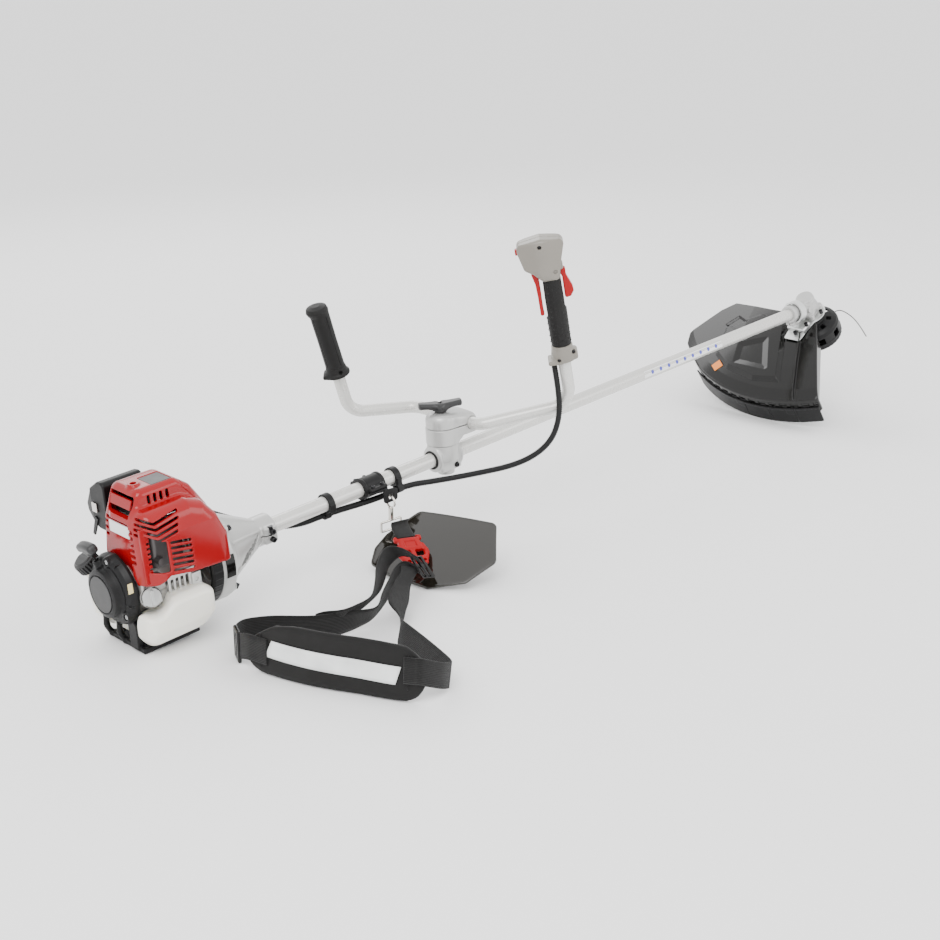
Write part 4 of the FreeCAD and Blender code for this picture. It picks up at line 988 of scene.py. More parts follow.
def make_post():
    """The handle's post on the tube: clamp, bush, holder, cap and knob."""
    def clamp(p):
        shape = rod(p, (POST - 28, 0, AXIS), (POST + 28, 0, AXIS), 20.5, 2.5)
        for side in (-1, 1):
            shape = join(shape, rod(p, (POST + side * 27, 0, AXIS), (POST + side * 22, 0, AXIS), 23.5, 2), 3)
        shape = join(shape, rod(p, (POST, 0, AXIS - 5), (POST, 0, 119.8), POST_RADIUS, 0.8), 5)
        shape = join(shape, rod(p, (POST + 4, 0, 62), (POST + 4, 0, AXIS), (15, 17), 2), 5)
        shape = join(shape, brick(p, (POST - 22, -20, 72), (POST + 24, 20, 86), 3), 4)
        shape = carve(shape, rod(p, (POST + 12, -40, 79), (POST + 12, -16, 79), 5, 0.5), 1)
        return carve(shape, around_tube(p)[0] - TUBE, 0.4)
    sculpt("post_clamp", clamp, (POST - 34, -32, 58), (POST + 34, 32, 124), 1.2, SILVER, "machine",
           ("handle_clamp",))
    socket_screw("post_screw", (POST + 12, -19, 79), (0, -1, 0), 4, 4, "machine")

    def bush(p):
        ring = np.abs(around_tube(p)[0] - 15) - 1.8
        return np.maximum(ring, np.abs(p[:, 0] - POST) - 30.5)
    sculpt("tube_bush", bush, (POST - 32, -18, 77), (POST + 32, 18, 113), 1.0, RUBBER, "machine")

    def holder(p):
        x, z = p[:, 0], p[:, 2]
        floor = 133 - np.clip((POST + 24 - x) * 0.9, 0, 30)
        nose = np.maximum(slab(plan_nose(p), z, 100, BAR_Z - 0.8, 1), (floor - z) * 0.8)
        shape = join(nose, rod(p, (POST, 0, 120.6), (POST, 0, BAR_Z - 0.8), POST_RADIUS, 0.8), 4)
        shape = both(shape, 120.6 - z, 0.5)
        return carve(shape, np.hypot(x - BAR_X, z - BAR_Z) - BAR_SEAT, 1)
    sculpt("holder_shell", holder, (POST - 30, -34, 118), (POST + 64, 34, 152), 1.2, SILVER, "handlebar",
           ("handle_holder",))

    def cap(p):
        x, y, z = p.T
        dome = z - 176.5 + np.clip(x - POST - 6, 0, 60) * 0.17 + np.square(y / 31) * 2
        shape = both(slab(plan_nose(p), z, BAR_Z + 0.8, 190, 1.2), dome, 15)
        return carve(shape, np.hypot(x - BAR_X, z - BAR_Z) - BAR_SEAT, 1)
    sculpt("cap_shell", cap, (POST - 30, -34, 148), (POST + 64, 34, 180), 1.2, SILVER, "handlebar",
           ("handle_cap",))
    turn = math.radians(-32)
    where = facing((POST, 0, 177.3), (0, 0, 1), (math.cos(turn), math.sin(turn), 0))

    def knob(p):
        q = inside(p, where)
        x, y, z = q.T
        x = np.abs(x)
        q = np.stack((x, y * 0.82, z), 1)
        shape = rod(q, (0, 0, 0.2), (0, 0, 12), (10, 11), 2)
        arm = join(ball(q, (6, 0, 10), 8.5), rod(q, (4, 0, 11), (38, 0, 14.5), (10, 7.5), 4), 6)
        shape = join(shape, arm, 6)
        shape = both(shape, z - 17 - np.square(x / 40) * 3, 3)
        shape = carve(shape, rod(q, (26, -30, -14), (26, 30, -14), 21, 1), 4)
        return carve(shape, rod(q, (0, 0, 14), (0, 0, 30), 3.4, 0.3), 1)
    sculpt("knob_shell", knob, (POST - 42, -42, 176), (POST + 42, 42, 200), 0.95, LABEL_GREY, "handle_knob",
           ("handle_knob",))


def make_left_grip():
    """The left grip: a rubber sleeve with a flange, an ear and a domed end."""
    def grip(p):
        x, y, z = p.T
        body = turned(p, [(CORE, 2), (19.5, 2), (20, 9), (18.5, 15), (17, 22), (16.6, 70), (17.2, 128),
                          (CORE, 128)], 1.5)
        shape = join(body, rod(p, (0, 0, 2), (0, 0, 8), 22.5, 1.8), 3)
        shape = join(shape, brick(p, (4, -15, 2), (25, 15, 9), 3), 4)
        crown = turned(np.stack((x - 2.0, y, z), 1),
                       [(CORE, 122), (17, 122), (20, 129), (18, 136), (8, 139), (CORE, 139)], 2.5)
        shape = join(shape, crown, 2)
        cut = np.abs(z - 19.5) - 0.5
        shape = carve(shape, np.maximum(cut, 17.0 - np.hypot(x, y)), 0.6)
        for angle in (-0.9, 0.9, 2.35):
            u = -math.sin(angle) * x + math.cos(angle) * y
            w = math.cos(angle) * x + math.sin(angle) * y
            line = np.maximum(np.maximum(np.abs(u) - 0.5, np.abs(z - 72) - 48), 15.9 - w)
            shape = carve(shape, line, 0.7)
        return carve(shape, rod(p, (-9, 12, 12), (-9, 40, 12), 3, 0.3), 0.5)
    sculpt("left_grip_shell", grip, (-27, -27, -2), (27, 27, 142), 1.1, RUBBER, "handlebar",
           ("left_grip",), where=LEFT_GRIP)


def make_right_grip():
    """The throttle grip. Its frame has Z up the grip and X towards the trigger."""
    def collar(p):
        x, y, _ = p.T
        shape = turned(p, [(CORE, 84), (18, 84), (20, 90), (20.5, 98), (18.6, 108), (18, 114), (CORE, 114)], 2)
        shape = join(shape, brick(p, (2, -17, 82), (27, 17, 90), 3.2), 5)
        shape = join(shape, brick(p, (-25, -14, 86), (-4, 14, 103), 5), 5)
        shape = join(shape, rod(p, (9, -8, 76), (9, -8, 90), 7, 1.5), 3)
        for across, up, deep in ((-18, 101, 8), (8, 91, 13)):
            shape = carve(shape, rod(p, (across, deep, up), (across, 40, up), 3.2, 0.3), 0.6)
        return carve(shape, np.hypot(x, y) - 11.2, 0.3)
    sculpt("collar_shell", collar, (-28, -20, 76), (28, 20, 116), 1.0, GREY, "handlebar",
           ("throttle_collar",), where=RIGHT_GRIP)

    def rubber(p):
        x, y, z = p.T
        body = turned(p, [(CORE, 114.4), (17, 114.4), (17.6, 150), (18, 200), (17.4, 236), (CORE, 236)], 1)
        body = both(body, z - 238 + x * 0.5, 1)
        angle = np.arctan2(y, x)
        row = np.round(angle / 0.36) * 0.36
        shift = (np.abs(row) / 0.36 % 2) * 5.5
        step = np.round((z + shift) / 11) * 11 - shift
        dot = np.sqrt(np.square((angle - row) * 17.4) + np.square(z - step)
                      + np.square(np.hypot(x, y) - 17.3)) - 1.3
        dot = np.maximum(dot, np.abs(z - 174) - 54)
        shape = join(body, dot, 0.8)
        shape = carve(shape, brick(p, (11, -7.6, 166), (60, 7.6, 260), 1), 1)
        return carve(shape, brick(p, (-60, -7.6, 180), (-11, 7.6, 260), 1), 1)
    sculpt("rubber_shell", rubber, (-20, -20, 113), (20, 20, 238), 0.9, RUBBER, "handlebar",
           ("throttle_rubber",), where=RIGHT_GRIP)

    def head(p):
        x, y, z = p.T
        side = [(-14, 234), (14, 234), (28, 250), (42, 258), (50, 290), (48, 303), (10, 309), (-24, 304),
                (-29, 297), (-18, 258)]
        wide = 21.5 - np.clip(246 - z, 0, 30) * 0.22 - np.clip(x - 34, 0, 30) * 0.2
        outer = prism(p, (0, 2), side, -60, 60, 3, 8)
        shape = both(outer, np.abs(y) - wide, 9)
        for cheek in (-y, y):
            shape = both(shape, cheek - 23.5 + np.abs(x - 10) * 0.3, 2)
        shape = join(shape, brick(p, (-22, -6.5, 200), (-13, 6.5, 262), 3), 3)
        # room for the trigger and the lock to move in
        shape = carve(shape, brick(p, (16, -7, 200), (46, 7, 250), 1.5), 1)
        shape = carve(shape, brick(p, (-40, -7, 186), (-12.2, 7, 249), 1.5), 1)
        for across, up in ((12, 297), (-8, 250)):
            shape = carve(shape, rod(p, (across, 15.5, up), (across, 40, up), 3.4, 0.3), 0.8)
        seam = np.maximum(np.abs(y) - 0.35, -(outer + 1.0))
        shape = carve(shape, seam, 0.4)
        return carve(shape, brick(p, (44, -5.5, 281), (80, 5.5, 297), 1), 0.6)
    sculpt("head_shell", head, (-30, -25, 172), (68, 25, 312), 1.1, GREY, "handlebar",
           ("throttle_head",), where=RIGHT_GRIP)
    socket_screws("throttle_screw", ((12, 17, 297), (-8, 12, 250), (-18, 11, 101), (8, 15, 91)),
                  tuple(RIGHT_GRIP.to_3x3() @ Vector((0, 1, 0))), 2.6, 1.6, "handlebar", RIGHT_GRIP)

    def trigger(p):
        side = [(21, 173), (26, 170), (27, 184), (27, 205), (28, 228), (33, 249), (21, 249), (20.5, 220)]
        shape = prism(p, (0, 2), side, -6.4, 6.4, 2.2, 3)
        skin = np.abs(prism(p, (0, 2), side, -99, 99, 0.5, 3))
        for y in (-2.4, 2.4):
            groove = np.hypot(p[:, 1] - y, skin) - 1.1
            shape = carve(shape, np.maximum(groove, 20 - p[:, 0]), 0.8)
        return shape
    sculpt("trigger_shell", trigger, (15, -8, 164), (45, 8, 247), 0.8, RED_DULL, "throttle_trigger",
           ("throttle_trigger",), where=RIGHT_GRIP)

    def lock(p):
        side = [(-18, 197), (-28, 199), (-34, 208), (-33, 217), (-24, 240), (-19, 250), (-18, 249)]
        return prism(p, (0, 2), side, -6, 6, 2.2, 3.5)
    sculpt("lock_shell", lock, (-44, -8, 182), (-17, 8, 248), 0.8, RED_DULL, "throttle_lock",
           ("throttle_lock",), where=RIGHT_GRIP)

    def nub(p):
        shape = brick(p, (42, -4.8, 284), (53, 4.8, 294), 1.5)
        for i in range(3):
            shape = carve(shape, brick(p, (52.2, -6, 285.8 + 2.6 * i), (56, 6, 286.8 + 2.6 * i), 0.3), 0.3)
        return shape
    sculpt("switch_shell", nub, (40, -6, 282), (56, 6, 296), 0.6, RED_DULL, "stop_switch",
           ("stop_switch",), where=RIGHT_GRIP)


# ---------------------------------------------------------------- guard and head

GUARD_ARC = ((206, -129), (240, 22), (181, 219))
GUARD_PLAN = [(24, -31), (330, -196), (330, 50), (287, 99), (128, 279), (98, 288), (20, 240), (-6, 212),
              (2, 100), (6, 34)]


def circle_through(a, b, c):
    """Centre and radius of the circle through three points of a plane."""
    (ax, ay), (bx, by), (cx, cy) = a, b, c
    d = 2 * (ax * (by - cy) + bx * (cy - ay) + cx * (ay - by))
    x = ((ax**2 + ay**2) * (by - cy) + (bx**2 + by**2) * (cy - ay) + (cx**2 + cy**2) * (ay - by)) / d
    y = ((ax**2 + ay**2) * (cx - bx) + (bx**2 + by**2) * (ax - cx) + (cx**2 + cy**2) * (bx - ax)) / d
    return (x, y), math.hypot(ax - x, ay - y)


ARC_CENTRE, ARC_RADIUS = circle_through(*GUARD_ARC)


def guard_arc(b, l):
    """How far a point is outside the guard's round edge, and how far along it."""
    b, l = b - ARC_CENTRE[0], l - ARC_CENTRE[1]
    return np.hypot(b, l) - ARC_RADIUS, np.arctan2(l, b) * ARC_RADIUS


def guard_shape(p):
    """The guard in the head's frame: b is back, l is left and d is down the head's axis."""
    b, l, d = p.T
    arc, around = guard_arc(b, l)
    plan = both(outline(b, l, GUARD_PLAN), arc, 8)
    reach = np.hypot(b, l)
    roof = np.interp(reach, (0, 40, 152, 330), (20.9, 20.9, 30.4, 52)).astype(np.float32)
    for points, sink, slope in (
            ([(46, 40), (190, -22), (200, 40), (182, 120), (152, 168), (74, 186), (26, 116)], -8, 9),
            ([(96, 62), (168, 24), (166, 104), (120, 118)], 3.5, 14),
            ([(52, 140), (84, 150), (64, 196), (36, 176)], 4, 5)):
        roof = roof + sink * np.clip(0.5 - outline(b, l, points) / slope, 0, 1)
    roof = roof + 6 * np.clip((arc + 26) / 22, 0, 1)
    height = (d - roof) * 0.85
    bottom = np.where(arc > -9, 86, 60)
    solid = np.maximum(both(plan, -height, 4), d - bottom)
    hollow = np.maximum(np.maximum(plan + 4.6, 4.4 - height), 20 - d)
    solid = carve(solid, hollow, 1.5)
    solid = carve(solid, np.maximum(reach - 74, 4.4 - height), 1)
    rib = np.abs((b - 24) * 0.386 + (l - 6) * 0.922) - 1.4
    rib = np.maximum(np.maximum(rib, -(height + 7)), np.maximum(height, np.maximum(plan + 3, 40 - reach)))
    solid = join(solid, rib, 2)
    cell = (around + 8) % 26 - 13
    pocket = np.maximum(np.maximum(np.abs(cell) - 8, np.abs(d - 63) - 5), -(arc + 1.4))
    solid = carve(solid, pocket, 1)
    return carve(solid, np.maximum(reach - 30, d - 60), 1)


def skirt_shape(p):
    """The strip that is clipped to the guard's round edge, in the head's frame."""
    b, l, d = p.T
    arc, around = guard_arc(b, l)
    ends = np.maximum(l - 215.5, -126 - l)
    band = np.maximum(np.maximum(np.abs(arc - 1.8) - 1.4, np.abs(d - 92.9) - 22.9), ends)
    lip = np.maximum(np.maximum(np.abs(arc - 2.2) - 1.2, np.abs(d - 72) - 2), ends)
    shape = join(band, lip, 1.5)
    for place in (-90, 40, 190):
        clip = np.maximum(np.maximum(np.abs(around - place) - 11, np.abs(d - 78) - 9), np.abs(arc - 2.2) - 1.2)
        shape = join(shape, clip, 1)
    seam = np.maximum(np.abs((around + 5) % 62 - 31) - 0.4, 2.9 - arc)
    return carve(shape, seam, 0.5)


def make_guard():
    """The guard, its skirt and its blank label."""
    sculpt("guard_shell", guard_shape, (-10, -135, 14), (246, 290, 88), 1.7, BLACK_GLOSS, "machine",
           ("guard",), where=OUTPUT)
    sculpt("skirt_shell", skirt_shape, (150, -130, 68), (248, 220, 118), 1.5, BLACK, "machine",
           ("guard_skirt",), where=OUTPUT)

    def label(p):
        b, l, d = p.T
        u, v = (b - 182) * 0.8 + (l - 150) * 0.6, -(b - 182) * 0.6 + (l - 150) * 0.8
        roof = 38.2 + (b - 172) * 0.145 + (l - 143) * 0.11
        return np.maximum(np.maximum(np.abs(u) - 11, np.abs(v) - 11), np.abs(d - roof + 0.2) - 0.8)
    sculpt("guard_label", label, (162, 130, 32), (202, 170, 48), 0.8, ORANGE, "machine",
           where=OUTPUT)


def make_gear_case():
    """The gear case, the guard's bracket, and the trimmer head with its bump knob."""
    def case(p):
        q = inside(p, OUTPUT)
        shape = rod(p, (1665, 0, AXIS), (1736, 0, AXIS), (18, 19.5), 2)
        shape = join(shape, rod(p, (1662, 0, AXIS), (1672, 0, AXIS), 19.5, 1.5), 2)
        shape = join(shape, ball(p, tuple(GEAR), 23.5), 8)
        shape = join(shape, rod(q, (0, 0, -31.5), (0, 0, 17.8), 19.5, 2.5), 5)
        shape = join(shape, rod(q, (0, 0, -24), (0, 0, -18), 20.5, 1), 2)
        flange = folded(q, 4, 0.78)
        shape = join(shape, rod(flange, (24, 0, 4), (24, 0, 17.8), 6.5, 1.5), 4)
        shape = join(shape, brick(p, (1668, -10, AXIS - 27), (1690, 10, AXIS - 12), 3), 3)
        shape = carve(shape, brick(p, (1650, -1, AXIS - 40), (1696, 1, AXIS - 10), 0.3), 0.5)
        shape = join(shape, rod(p, (1712, -26, AXIS + 4), (1712, 0, AXIS + 4), 7, 1.5), 4)
        return carve(shape, np.maximum(around_tube(p)[0] - TUBE, p[:, 0] - 1700), 0.4)
    sculpt("gear_shell", case, (1655, -38, 58), (1775, 38, 142), 1.2, SILVER, "machine",
           ("gear_case",))

    def bracket(p):
        q = inside(p, OUTPUT)
        disc = rod(q, (0, 0, 18.2), (0, 0, 20.7), 34, 0.8)
        tongue = prism(q, (0, 1), [(0, -26), (84, -20), (84, 20), (0, 26)], 18.2, 20.7, 0.8, 5)
        shape = join(disc, tongue, 2)
        radius, _ = around_tube(p)
        collar = np.maximum(np.abs(radius - 23) - 2.2, np.abs(p[:, 0] - 1688) - 9)
        saddle = brick(q, (34, -23, 6), (62, 23, 20), 4)
        shape = join(shape, carve(saddle, radius - 20, 1), 2)
        shape = join(shape, collar, 2)
        holes = folded(q, 6, 0.3)
        return carve(shape, rod(holes, (28, 0, 10), (28, 0, 30), 2.2, 0.3), 0.5)
    low, high = bounds_of(OUTPUT, (-36, -36, -12), (88, 36, 22))
    sculpt("bracket_shell", bracket, low, high, 1.1, ZINC, "machine", ("guard_bracket",))
    socket_screws("bracket_screw", ((46, -21, 6), (46, 21, 6), (66, 0, 18), (-2, -30, 12)),
                  tuple(-DOWN_OUT), 4.2, 6.5, "machine", OUTPUT)

    def head(p):
        shape = turned(p, [(CORE, 30), (22, 30), (25, 38), (44, 44), (51, 49), (53.8, 56), (53.8, 86),
                           (52.5, 91), (48, 91), (47.5, 54), (41, 45.5), (CORE, 44.5)], 1.3)
        shape = carve(shape, brick(folded(p, 8), (40, -8, 60), (60, 8, 77), 2), 1)
        shape = carve(shape, brick(folded(p, 8, 0.39), (30, -5, 34), (41, 5, 60), 1.5), 1)
        shape = join(shape, brick(folded(p, 32), (52, -1, 80), (54, 1, 90), 0.6), 0.8)
        return join(shape, turned(p, [(50, 77), (54.2, 77), (54.2, 79), (50, 79)], 0.5), 1)
    sculpt("head_cup", head, (-56, -56, 28), (56, 56, 93), 1.15, BLACK, "output",
           ("trimmer_head",), where=OUTPUT)

    def knob(p):
        shape = turned(p, [(CORE, 84), (46.5, 84), (46.5, 92.5), (40, 96), (34, 104), (24, 109.5),
                           (CORE, 110)], 1.5)
        return carve(shape, brick(folded(p, 10), (33, -2.5, 94), (60, 2.5, 120), 1.2), 1.5)
    sculpt("bump_cap", knob, (-48, -48, 82), (48, 48, 112), 1.15, BLACK, "bump",
           ("bump_knob",), where=OUTPUT)


def make_tube_trim():
    """The blank label strip on the tube and the hanger clamp with its eyelet."""
    def strip(p):
        radius, angle = around_tube(p)
        return np.maximum(np.maximum(np.abs(radius - 13.0) - 0.35, (np.abs(angle - 0.25) - 0.62) * 13),
                          np.abs(p[:, 0] - 1275) - 128)
    sculpt("tube_label", strip, (1140, -15, 84), (1410, 2, 112), 1.1, WHITE, "machine")

    def marks(p):
        radius, angle = around_tube(p)
        cell = (p[:, 0] - 1160) % 26 - 13
        shape = np.maximum(np.abs(radius - 13.1) - 0.45, np.hypot(cell, (angle - 0.25) * 13) - 4.2)
        return np.maximum(shape, np.abs(p[:, 0] - 1277) - 116)
    sculpt("tube_label_dots", marks, (1155, -15, 88), (1400, -8, 108), 0.8, BLUE, "machine")

    def hanger(p):
        shape = rod(p, (414, 0, AXIS), (458, 0, AXIS), 18, 1.5)
        for side in (-1, 1):
            shape = join(shape, rod(p, (436 + side * 17, 0, AXIS), (436 + side * 22, 0, AXIS), 19, 1.2), 1.5)
        shape = join(shape, brick(p, (418, -29, AXIS - 6), (454, 29, AXIS + 6), 3), 3)
        tab = prism(p, (0, 2), [(443, 66), (473, 66), (473, 88), (443, 92)], -29.8, -26.2, 1.2, 6)
        shape = join(shape, tab, 1.5)
        shape = carve(shape, rod(p, (458, -40, 76), (458, -20, 76), 5, 0.5), 1)
        shape = carve(shape, np.abs(p[:, 2] - AXIS) - 0.5 + np.maximum(14 - np.abs(p[:, 1]), 0) * 9, 0.4)
        return carve(shape, around_tube(p)[0] - TUBE, 0.4)
    sculpt("hanger_shell", hanger, (410, -32, 54), (476, 32, 118), 1.0, BLACK, "machine",
           ("hanger_clamp",))
    top = AXIS + 6
    socket_screws("hanger_screw", ((426, -23, top), (446, -23, top), (426, 23, top), (446, 23, top)),
                  (0, 0, 1), 3.4, 3.2, "machine")


# ---------------------------------------------------------------- harness, in the floor's frame

def curve_through(rows, parts):
    """A Catmull-Rom line through rows of numbers."""
    rows = np.array(rows, float)
    padded = np.concatenate((2 * rows[:1] - rows[1:2], rows, 2 * rows[-1:] - rows[-2:-1]))
    fine = []
    for i in range(len(rows) - 1):
        a, b, c, d = padded[i:i + 4]
        for t in np.arange(parts) / parts:
            fine.append(0.5 * (2 * b + (c - a) * t + (2 * a - 5 * b + 4 * c - d) * t**2
                               + (3 * b - a - 3 * c + d) * t**3))
    fine.append(rows[-1])
    return np.array(fine)


def travelled(line):
    """The length travelled along a line at each of its points."""
    return np.concatenate(((0,), np.cumsum(np.linalg.norm(np.diff(line, axis=0), axis=1))))


def ribbon(name, rails, thickness=1.8, material=WEBBING, stands_for=(), parts=7, columns=6):
    """Webbing between two rails, each given as points in millimetres."""
    first = curve_through([rail[0] for rail in rails], parts)
    second = curve_through([rail[1] for rail in rails], parts)
    rows = len(first)
    across = np.linspace(0, 1, columns)
    middle = first[:, None] * (1 - across[None, :, None]) + second[:, None] * across[None, :, None]
    along = np.gradient(middle, axis=0)
    side = np.gradient(middle, axis=1)
    normal = np.cross(along, side)
    normal /= np.maximum(np.linalg.norm(normal, axis=2, keepdims=True), 1e-9)
    for _ in range(2):
        normal[1:-1] = normal[:-2] + normal[1:-1] * 2 + normal[2:]
        normal /= np.maximum(np.linalg.norm(normal, axis=2, keepdims=True), 1e-9)
    both_sides = np.concatenate((middle + normal * thickness / 2, middle - normal * thickness / 2))
    points = both_sides.reshape(-1, 3)
    far = rows * columns

    def spot(i, k, layer):
        return layer * far + i * columns + k
    faces = []
    for i in range(rows - 1):
        for k in range(columns - 1):
            faces.append((spot(i, k, 0), spot(i + 1, k, 0), spot(i + 1, k + 1, 0), spot(i, k + 1, 0)))
            faces.append((spot(i, k, 1), spot(i, k + 1, 1), spot(i + 1, k + 1, 1), spot(i + 1, k, 1)))
        for k in (0, columns - 1):
            wall = (spot(i, k, 0), spot(i, k, 1), spot(i + 1, k, 1), spot(i + 1, k, 0))
            faces.append(wall if k == 0 else wall[::-1])
    for i in (0, rows - 1):
        for k in range(columns - 1):
            wall = (spot(i, k, 0), spot(i, k + 1, 0), spot(i, k + 1, 1), spot(i, k, 1))
            faces.append(wall if i == 0 else wall[::-1])
    mesh = smooth_mesh(name, (points * MM).tolist(), faces)
    lengths = travelled(middle[:, columns // 2]) * MM
    width = float(np.linalg.norm(first - second, axis=1).mean()) * MM
    layer = mesh.uv_layers.new(name="UVMap")
    for loop in mesh.loops:
        index = loop.vertex_index % far
        layer.data[loop.index].uv = (across[index % columns] * width, lengths[index // columns])
    return finished(name, mesh, material, "harness", stands_for, FLOOR)


PAD_LINE = [(36, -186), (42, -214), (50, -250), (63, -290), (79, -326), (97, -360), (115, -398), (133, -430),
            (147, -449)]
PAD_SHAPE = [(0, 26), (7, 9), (26, 1.2), (268, 1.2), (284, 9), (296, 34), (290, 62), (266, 82), (230, 85),
             (92, 85), (52, 78), (22, 60), (4, 46)]
STRIP_SHAPE = [(52, 57), (38, 31), (250, 27), (258, 54)]
PAD_HALF = 5.0                              # half of the pad's thickness before it is blown up
PAD_LENGTH = 297


def along_pad(s, depth):
    """The floor point at a length along the pad's line, moved towards the front by a depth."""
    line = curve_through(PAD_LINE, 8)
    steps = travelled(line)
    place = np.clip(np.asarray(s) * steps[-1] / PAD_LENGTH, 0, steps[-1])
    x, y = np.interp(place, steps, line[:, 0]), np.interp(place, steps, line[:, 1])
    ahead = np.stack((np.interp(place + 2, steps, line[:, 0]) - np.interp(place - 2, steps, line[:, 0]),
                      np.interp(place + 2, steps, line[:, 1]) - np.interp(place - 2, steps, line[:, 1])), -1)
    ahead /= np.linalg.norm(ahead, axis=-1, keepdims=True)
    return np.stack((x + ahead[..., 1] * depth, y - ahead[..., 0] * depth), -1)


def bend(points):
    """Takes (length, height, depth) in millimetres to the floor's frame, in metres."""
    place = along_pad(points[:, 0], points[:, 2])
    lean = (points[:, 1] - 40) * 0.05
    return np.stack((place[:, 0] + lean, place[:, 1], points[:, 1]), 1) * MM


def rounded_loop(corners, count):
    """An even closed line round a polygon, with its corners eased."""
    closed = np.concatenate((corners, corners[:1]))
    steps = travelled(closed)
    place = np.linspace(0, steps[-1], count, endpoint=False)
    line = np.stack([np.interp(place, steps, closed[:, i]) for i in range(2)], 1)
    for _ in range(3):
        line = (np.roll(line, 1, axis=0) + line * 2 + np.roll(line, -1, axis=0)) / 4
    return np.concatenate((line, line[:1]))


def pad_rail(top, foot, proud):
    """A pair of floor points on the pad's front, for a ribbon that stands proud of it."""
    pair = bend(np.array(((*top, PAD_HALF + proud), (*foot, PAD_HALF + proud)))) / MM
    return tuple(pair[0]), tuple(pair[1])


def piping(name, path, radius, sides):
    """A round cord along a line of the floor's frame, sewn to the pad."""
    tube = tube_mesh(name, [FLOOR @ Vector(p) for p in path], [radius * MM] * len(path), sides, BINDING)
    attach(tube, "harness")


def make_pad():
    """The shoulder pad, with its binding, reflective strip and seams."""
    step = 5.0
    low = np.array((-8.0, -8.0, -9.0))
    count = np.ceil(np.array((312, 102, 18)) / step).astype(int) + 1

    def flat_pad(p):
        side = outline(p[:, 0], p[:, 1], drawn_in(PAD_SHAPE, 3)) - 3
        return slab(side, p[:, 2], -PAD_HALF, PAD_HALF, 2.5)
    points, quads = surface_net(sampled(flat_pad, low, count, step), low, step)
    rim = outline(points[:, 0], points[:, 1], PAD_SHAPE)
    strip = outline(points[:, 0], points[:, 1], STRIP_SHAPE)
    held = (rim > -5) | ((strip < 3) & (points[:, 2] > 0))
    mesh = smooth_mesh("shoulder_pad_cloth", bend(points).tolist(), quads.tolist())
    pad = finished("shoulder_pad_cloth", mesh, CLOTH, None, (), FLOOR)
    puffed(pad, np.nonzero(held)[0])
    softened = pad.modifiers.new("smooth", "SUBSURF")
    softened.levels = softened.render_levels = 1
    applied(pad)
    pad.data.shade_smooth()
    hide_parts("shoulder_pad")
    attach(pad, "harness")

    rim_line = rounded_loop(np.array(drawn_in(PAD_SHAPE, 3.6)), 96)
    piping("pad_binding", bend(np.column_stack((rim_line, np.zeros(len(rim_line))))), 3.9, 10)

    def between(first, last, t):
        return np.array(first) * (1 - t) + np.array(last) * t
    rails = [pad_rail(between((52, 57), (258, 54), t), between((40, 31), (250, 27), t), 1.4)
             for t in np.linspace(0, 1, 12)]
    ribbon("reflective_strip", rails, 1.2, STRIP, (), 3)
    for i, (top, foot) in enumerate((((30, 62), (30, 12)), ((268, 72), (268, 20)))):
        seam = [(*between(top, foot, t), PAD_HALF + 0.6) for t in np.linspace(0, 1, 9)]
        piping("pad_seam_%d" % (i + 1), bend(np.array(seam)), 0.8, 8)
    make_straps()


def make_straps():
    """The webbing's loops, whose rails are pairs of points in the floor's frame."""
    band = [pad_rail((s, 70), (s, 30), 2.2) for s in (262, 276, 288)]
    corner = [((168, -452, 56), (166, -450, 16)), ((190, -446, 47), (186, -444, 7)),
              ((199, -438, 43), (195, -436, 3)), ((206, -424, 42), (201, -420, 2)),
              ((219, -380, 42), (214, -372, 2)), ((232, -330, 42), (226, -322, 2)),
              ((241, -292, 42), (237, -284, 2)), ((262, -262, 30), (262, -262, 8)),
              ((270, -245, 30), (287, -244, 24)), ((276, -218, 40), (311, -226, 30)),
              ((308, -194, 50), (343, -196, 40)), ((334, -182, 58), (375, -179, 50)),
              ((346, -170, 62), (384, -168, 50))]
    ribbon("right_webbing", band + corner, stands_for=("strap_right",))
    front = [pad_rail((s, 57), (s, 17), 1.8) for s in (44, 26, 6)]
    front += [((34, -172, 50), (33, -172, 10)), ((41, -158, 46), (41, -158, 6))]
    ribbon("left_webbing", front)
    back = [((43, -158, 46), (43, -158, 6)), ((47, -144, 45), (47, -144, 5)),
            ((60, -130, 44), (60, -130, 4)), ((80, -126, 43), (82, -124, 3)),
            ((112, -144, 43), (116, -140, 3)), ((148, -180, 43), (156, -172, 3)),
            ((172, -199, 44), (180, -192, 4)), ((193, -209, 44), (200, -200, 4)),
            ((217, -222, 44), (231, -205, 8)), ((244, -229, 44), (256, -206, 14)),
            ((274, -208, 52), (298, -189, 24)), ((306, -187, 58), (325, -174, 34)),
            ((334, -170, 64), (354, -160, 42)), ((353, -169, 68), (370, -163, 48)),
            ((364, -184, 62), (377, -176, 44)), ((366, -192, 50), (382, -184, 36))]
    ribbon("back_webbing", back, stands_for=("strap_left",))
    loop = [((160, -186, 44), (166, -182, 20)), ((172, -194, 47), (180, -188, 26)),
            ((188, -214, 51), (198, -206, 32)), ((208, -222, 55), (236, -202, 34)),
            ((238, -222, 60), (288, -180, 36)), ((269, -196, 66), (313, -166, 44)),
            ((298, -166, 74), (337, -148, 54)), ((330, -143, 84), (347, -150, 64)),
            ((347, -142, 88), (360, -154, 70)), ((358, -160, 86), (369, -168, 70)),
            ((364, -186, 78), (374, -190, 64))]
    ribbon("upper_webbing", loop)


def applied(piece):
    """Bakes a piece's modifiers into its mesh."""
    graph = bpy.context.evaluated_depsgraph_get()
    mesh = bpy.data.meshes.new_from_object(piece.evaluated_get(graph))
    piece.modifiers.clear()
    piece.data = mesh


CLOTH_FRAMES = 20
MOST_SWELL = 5 * MM
LOWEST = 0.6 * MM                           # the pad's underside over the floor


